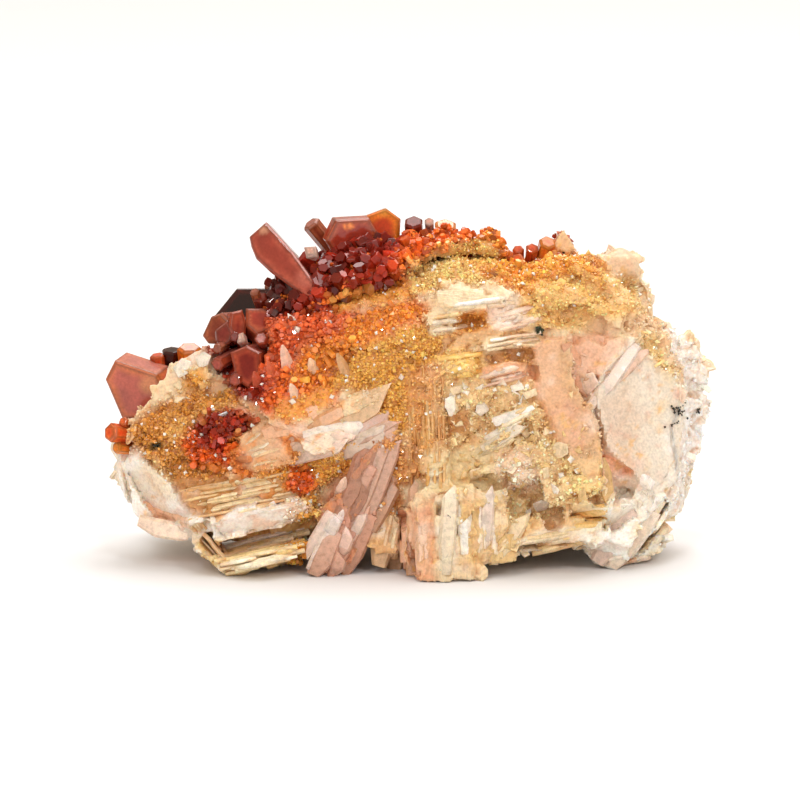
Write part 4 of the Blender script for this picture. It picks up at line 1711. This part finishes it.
def outward_places(mesh, count, rng, facing, least):
    """Places on those faces of a mesh that look at least this much one way, drawn by area."""
    mesh.calc_loop_triangles()
    corners = np.array([t.vertices[:] for t in mesh.loop_triangles])
    points, _, _ = arrays_of(mesh)
    a, b, c = (points[corners[:, k]] for k in range(3))
    cross = np.cross(b - a, c - a)
    area = np.linalg.norm(cross, axis=1)
    normals = cross / np.maximum(area, 1e-12)[:, None]
    facing = np.array(facing) / np.linalg.norm(facing)
    share = area * (normals @ facing > least)
    chosen = rng.choice(len(corners), count, p=share / share.sum())
    mix = rng.dirichlet((1, 1, 1), count)
    places = a[chosen] * mix[:, :1] + b[chosen] * mix[:, 1:2] + c[chosen] * mix[:, 2:]
    return places, normals[chosen]


# Crusts: piece, its node, number of crystals, the way they face, size of a large one and grid of the
# bed in millimetres, seed and tone
CRUSTS = (
    ("crest_crust", "crest_crystal_crust", 3200, (-0.1, -0.62, 0.78), 0.42, 0.4, 301, 1.0),
    ("hollow_crust", "hollow_crystal_crust", 420, (0.0, -1.0, 0.2), 0.26, 0.3, 311, 0.85),
)
GROWN_SHARE = 0.2  # share of a crust's crystals that are well grown
FLASH_SHARE, FLASH_TINT = 0.03, "#F6D8C8"  # small crystals that happen to mirror a light


def crust(name, node, count, facing, size, grid, seed, tone):
    """A crust of small prisms, turned every way, on a rough bed of the same druse."""
    rng = np.random.default_rng(seed)
    bed = remeshed(NODES[node].data, grid * MM)
    points, normals, _ = arrays_of(bed)
    points = points + normals * (0.25 * waves(points, 1.1, seed, 2))[:, None]
    bed_faces = quads_of(bed)
    bpy.data.meshes.remove(bed)
    places, out = outward_places(NODES[node].data, count, rng, facing, -0.2)
    # The large leaning crystal stands in front, so none grows over its face
    open_place = inside(TABLES["leaning_prism"][0][0], places[:, [0, 2]], 0.3) < 0.5
    places, out = places[open_place], out[open_place]
    count = len(places)
    # The well-grown crystals are smaller towards the right, where the crest runs low
    grown = rng.uniform(size=count) < GROWN_SHARE
    largest = 2.1 - 0.9 * smooth_step(-4.0, 6.0, places[:, 0])
    half = size * np.where(grown, largest * rng.uniform(0.55, 1.0, count), rng.uniform(0.35, 0.75, count))
    colours = cover(places, out)[0]
    half = half * (1 - 0.55 * smooth_step(3.4, 1.8, redness(colours)))
    tall = half * rng.uniform(1.0, 2.6, count)
    scales = np.stack([half, half * rng.uniform(0.6, 1.0, count), tall], 1)
    turns = frames_round(out * 0.5 + np.array(facing) * 0.3 + rng.normal(0, 0.7, out.shape), rng)
    template = prism_template(cap=0.92, shoulder=0.95)
    more, rings = copies(template, turns, places - out * (tall * 0.35)[:, None], scales)
    everything, all_rings = joined([(points, [bed_faces]), (more, rings)])
    mesh = mesh_of(name, everything, all_rings)
    bed_colour = cover(points, normals)[0] * CRUST_LOW
    # Well-grown crystals are deep and dark, the small ones between them thin enough to glow orange
    small = (~grown)[:, None] * rng.uniform(0, 0.6, (count, 1))
    colours = colours + (tint_of(ORANGE) - colours) * small
    colours = jittered(colours * tone * np.where(grown, 0.85, 1.25)[:, None], rng, 0.34)
    flash = (rng.uniform(size=(count, 1)) < FLASH_SHARE) & (~grown)[:, None]
    colours = np.where(flash, linear(FLASH_TINT), colours)
    paint(mesh, "tint", np.concatenate([bed_colour, tinted(template, colours, 0.5)]))
    return mesh


class SPECIMEN_OT_crusts(Operator):
    """Builds the crusts of small dark red crystals along the crest and in the left hollow"""

    bl_idname = "specimen.crusts"
    bl_label = "Crystal Crusts"

    def execute(self, context):
        # Vanadinite crust: many small adamantine faces turned every way, so that some always flash
        material = tinted_crystal("Vanadinite crust, small prisms", 0.1, 0.08, 1.0, 0.15)
        for name, node, *how in CRUSTS:
            mesh = crust(name, node, *how)
            place_piece(name, mesh, material, [node])
        return {"FINISHED"}


def light(name, power, size, place, aim):
    """A square white lamp at a place, turned to what it aims at."""
    data = bpy.data.lights.new(name, "AREA")
    data.energy = power
    data.size = size
    lamp = bpy.data.objects.new(name, data)
    lamp.location = place
    lamp.rotation_euler = (Vector(aim) - Vector(place)).to_track_quat("-Z", "Y").to_euler()
    bpy.context.scene.collection.objects.link(lamp)


SENSOR = 36.0  # millimetres
FLOOR_WIDE = 8.0  # metres
CARD = (0.78, 0.79, 0.815, 1.0)  # the white card's own colour, linear
WARM = "#FFF0DC"  # the room's light, as it is once it has crossed the specimen
# Lamps: name, share of the key's power, size, place and aim in metres
MIDDLE = (0.0, 0.0, 0.018)
LAMPS = (
    ("overhead box", 5.4, 0.45, (0.16, 0.2, 0.62), MIDDLE),
    ("front box", 2.2, 0.5, (-0.2, -0.62, 0.36), MIDDLE),
    ("side card", 0.8, 0.3, (0.6, -0.4, 0.25), MIDDLE),
    ("rear box", 4.6, 0.4, (-0.05, 0.55, 0.75), (0.0, 0.3, 0.0)),
    ("backdrop lamp", 10.0, 1.0, (0.0, 1.5, 1.2), (0.0, 2.6, 0.0)),
    ("small lamp left", 0.9, 0.04, (-0.16, -0.5, 0.42), MIDDLE),
    ("small lamp right", 0.9, 0.04, (0.22, -0.46, 0.36), MIDDLE),
    ("small lamp low", 0.3, 0.03, (-0.06, -0.6, 0.14), MIDDLE),
    ("small lamp high", 0.9, 0.04, (0.04, -0.2, 0.6), MIDDLE),
)


class SPECIMEN_OT_studio(Operator):
    """Sets the white floor, the soft lights and the camera"""

    bl_idname = "specimen.studio"
    bl_label = "Studio"

    def execute(self, context):
        scene, settings = context.scene, context.scene.specimen_studio
        scene.view_settings.view_transform = "Standard"
        bpy.ops.mesh.primitive_plane_add(size=FLOOR_WIDE, location=(0, 0, 0))
        floor = context.object
        floor.name = "floor"
        # Matt white card, bright enough to run to plain white
        material, tree, output = new_material("White card, matt")
        fibre = add(tree, "ShaderNodeTexNoise", None, {
            "Vector": add(tree, "ShaderNodeTexCoord").outputs["Object"], "Scale": per_mm(2.0), "Detail": 2.0})
        rough = add(tree, "ShaderNodeMapRange", None, {
            "Value": fibre.outputs["Fac"], "To Min": 0.75, "To Max": 0.85})
        shader = add(tree, "ShaderNodeBsdfPrincipled", None, {
            "Base Color": CARD, "Roughness": rough.outputs["Result"], "Specular IOR Level": 0.2})
        tree.links.new(shader.outputs["BSDF"], output.inputs["Surface"])
        floor.data.materials.append(material)
        world = bpy.data.worlds.new("soft white room")
        scene.world = world
        world.use_nodes = True
        # Brighter overhead than at the sides, as under a broad diffuser
        sky = world.node_tree
        way = add(sky, "ShaderNodeSeparateXYZ", None, {
            "Vector": add(sky, "ShaderNodeTexCoord").outputs["Generated"]})
        strength = add(sky, "ShaderNodeMapRange", None, {
            "Value": way.outputs["Z"], "To Min": settings.level, "To Max": settings.overhead})
        sky.links.new(strength.outputs["Result"], sky.nodes["Background"].inputs["Strength"])
        sky.nodes["Background"].inputs["Color"].default_value = (*linear(WARM), 1.0)
        for name, share, size, place, aim in LAMPS:
            light(name, settings.key * share, size, place, aim)
        camera_data = bpy.data.cameras.new("camera")
        camera_data.lens = settings.lens
        camera_data.sensor_width = SENSOR
        camera_data.clip_start = 0.01
        camera = bpy.data.objects.new("camera", camera_data)
        scene.collection.objects.link(camera)
        across, up = square(GRID_WIDE / 2, GRID_WIDE / 2)
        target = Vector(row([(across, 0.0, up)])[0])
        look = Vector((0.0, math.cos(LEAN), -math.sin(LEAN)))
        width = GRID_WIDE * SQUARE * MM
        camera.location = target - look * width * settings.lens / SENSOR
        camera.rotation_euler = look.to_track_quat("-Z", "Y").to_euler()
        scene.camera = camera
        return {"FINISHED"}


class SPECIMEN_PT_specimen(Panel):
    """Lists what the specimen is built from, with its settings."""

    bl_label = "Specimen"
    bl_idname = "SPECIMEN_PT_specimen"
    bl_space_type = "VIEW_3D"
    bl_region_type = "UI"
    bl_category = "Specimen"

    def draw(self, context):
        for settings, _, operators in GROUPS:
            box = self.layout.box()
            group = getattr(context.scene, settings)
            for name in group.__annotations__:
                box.prop(group, name)
            for operator in operators:
                box.operator("specimen." + operator)


# Each group of settings, and the operators that use it
GROUPS = (
    ("specimen_rock", RockSettings, ("rock",)),
    ("specimen_druse", DruseSettings, ("druse", "blades", "sheaves", "crusts")),
    ("specimen_crystals", CrystalSettings, ("crystals",)),
    ("specimen_studio", StudioSettings, ("studio",)),
)
CLASSES = (*(settings for _, settings, _ in GROUPS), SPECIMEN_OT_rock, SPECIMEN_OT_druse,
           SPECIMEN_OT_blades, SPECIMEN_OT_sheaves, SPECIMEN_OT_crusts, SPECIMEN_OT_crystals,
           SPECIMEN_OT_studio, SPECIMEN_PT_specimen)


def register():
    """Registers the classes and gives each scene their settings."""
    for cls in CLASSES:
        bpy.utils.register_class(cls)
    for name, settings, _ in GROUPS:
        setattr(bpy.types.Scene, name, PointerProperty(type=settings))


def unregister():
    """Takes back what register() did."""
    for name, _, _ in GROUPS:
        delattr(bpy.types.Scene, name)
    for cls in reversed(CLASSES):
        bpy.utils.unregister_class(cls)


def main():
    """Builds the specimen and its studio, and writes down how large they came out."""
    register()
    bpy.ops.specimen.rock()
    bpy.ops.specimen.druse()
    bpy.ops.specimen.blades()
    bpy.ops.specimen.sheaves()
    bpy.ops.specimen.crusts()
    bpy.ops.specimen.crystals()
    bpy.ops.specimen.studio()


if __name__ == "__main__":
    main()
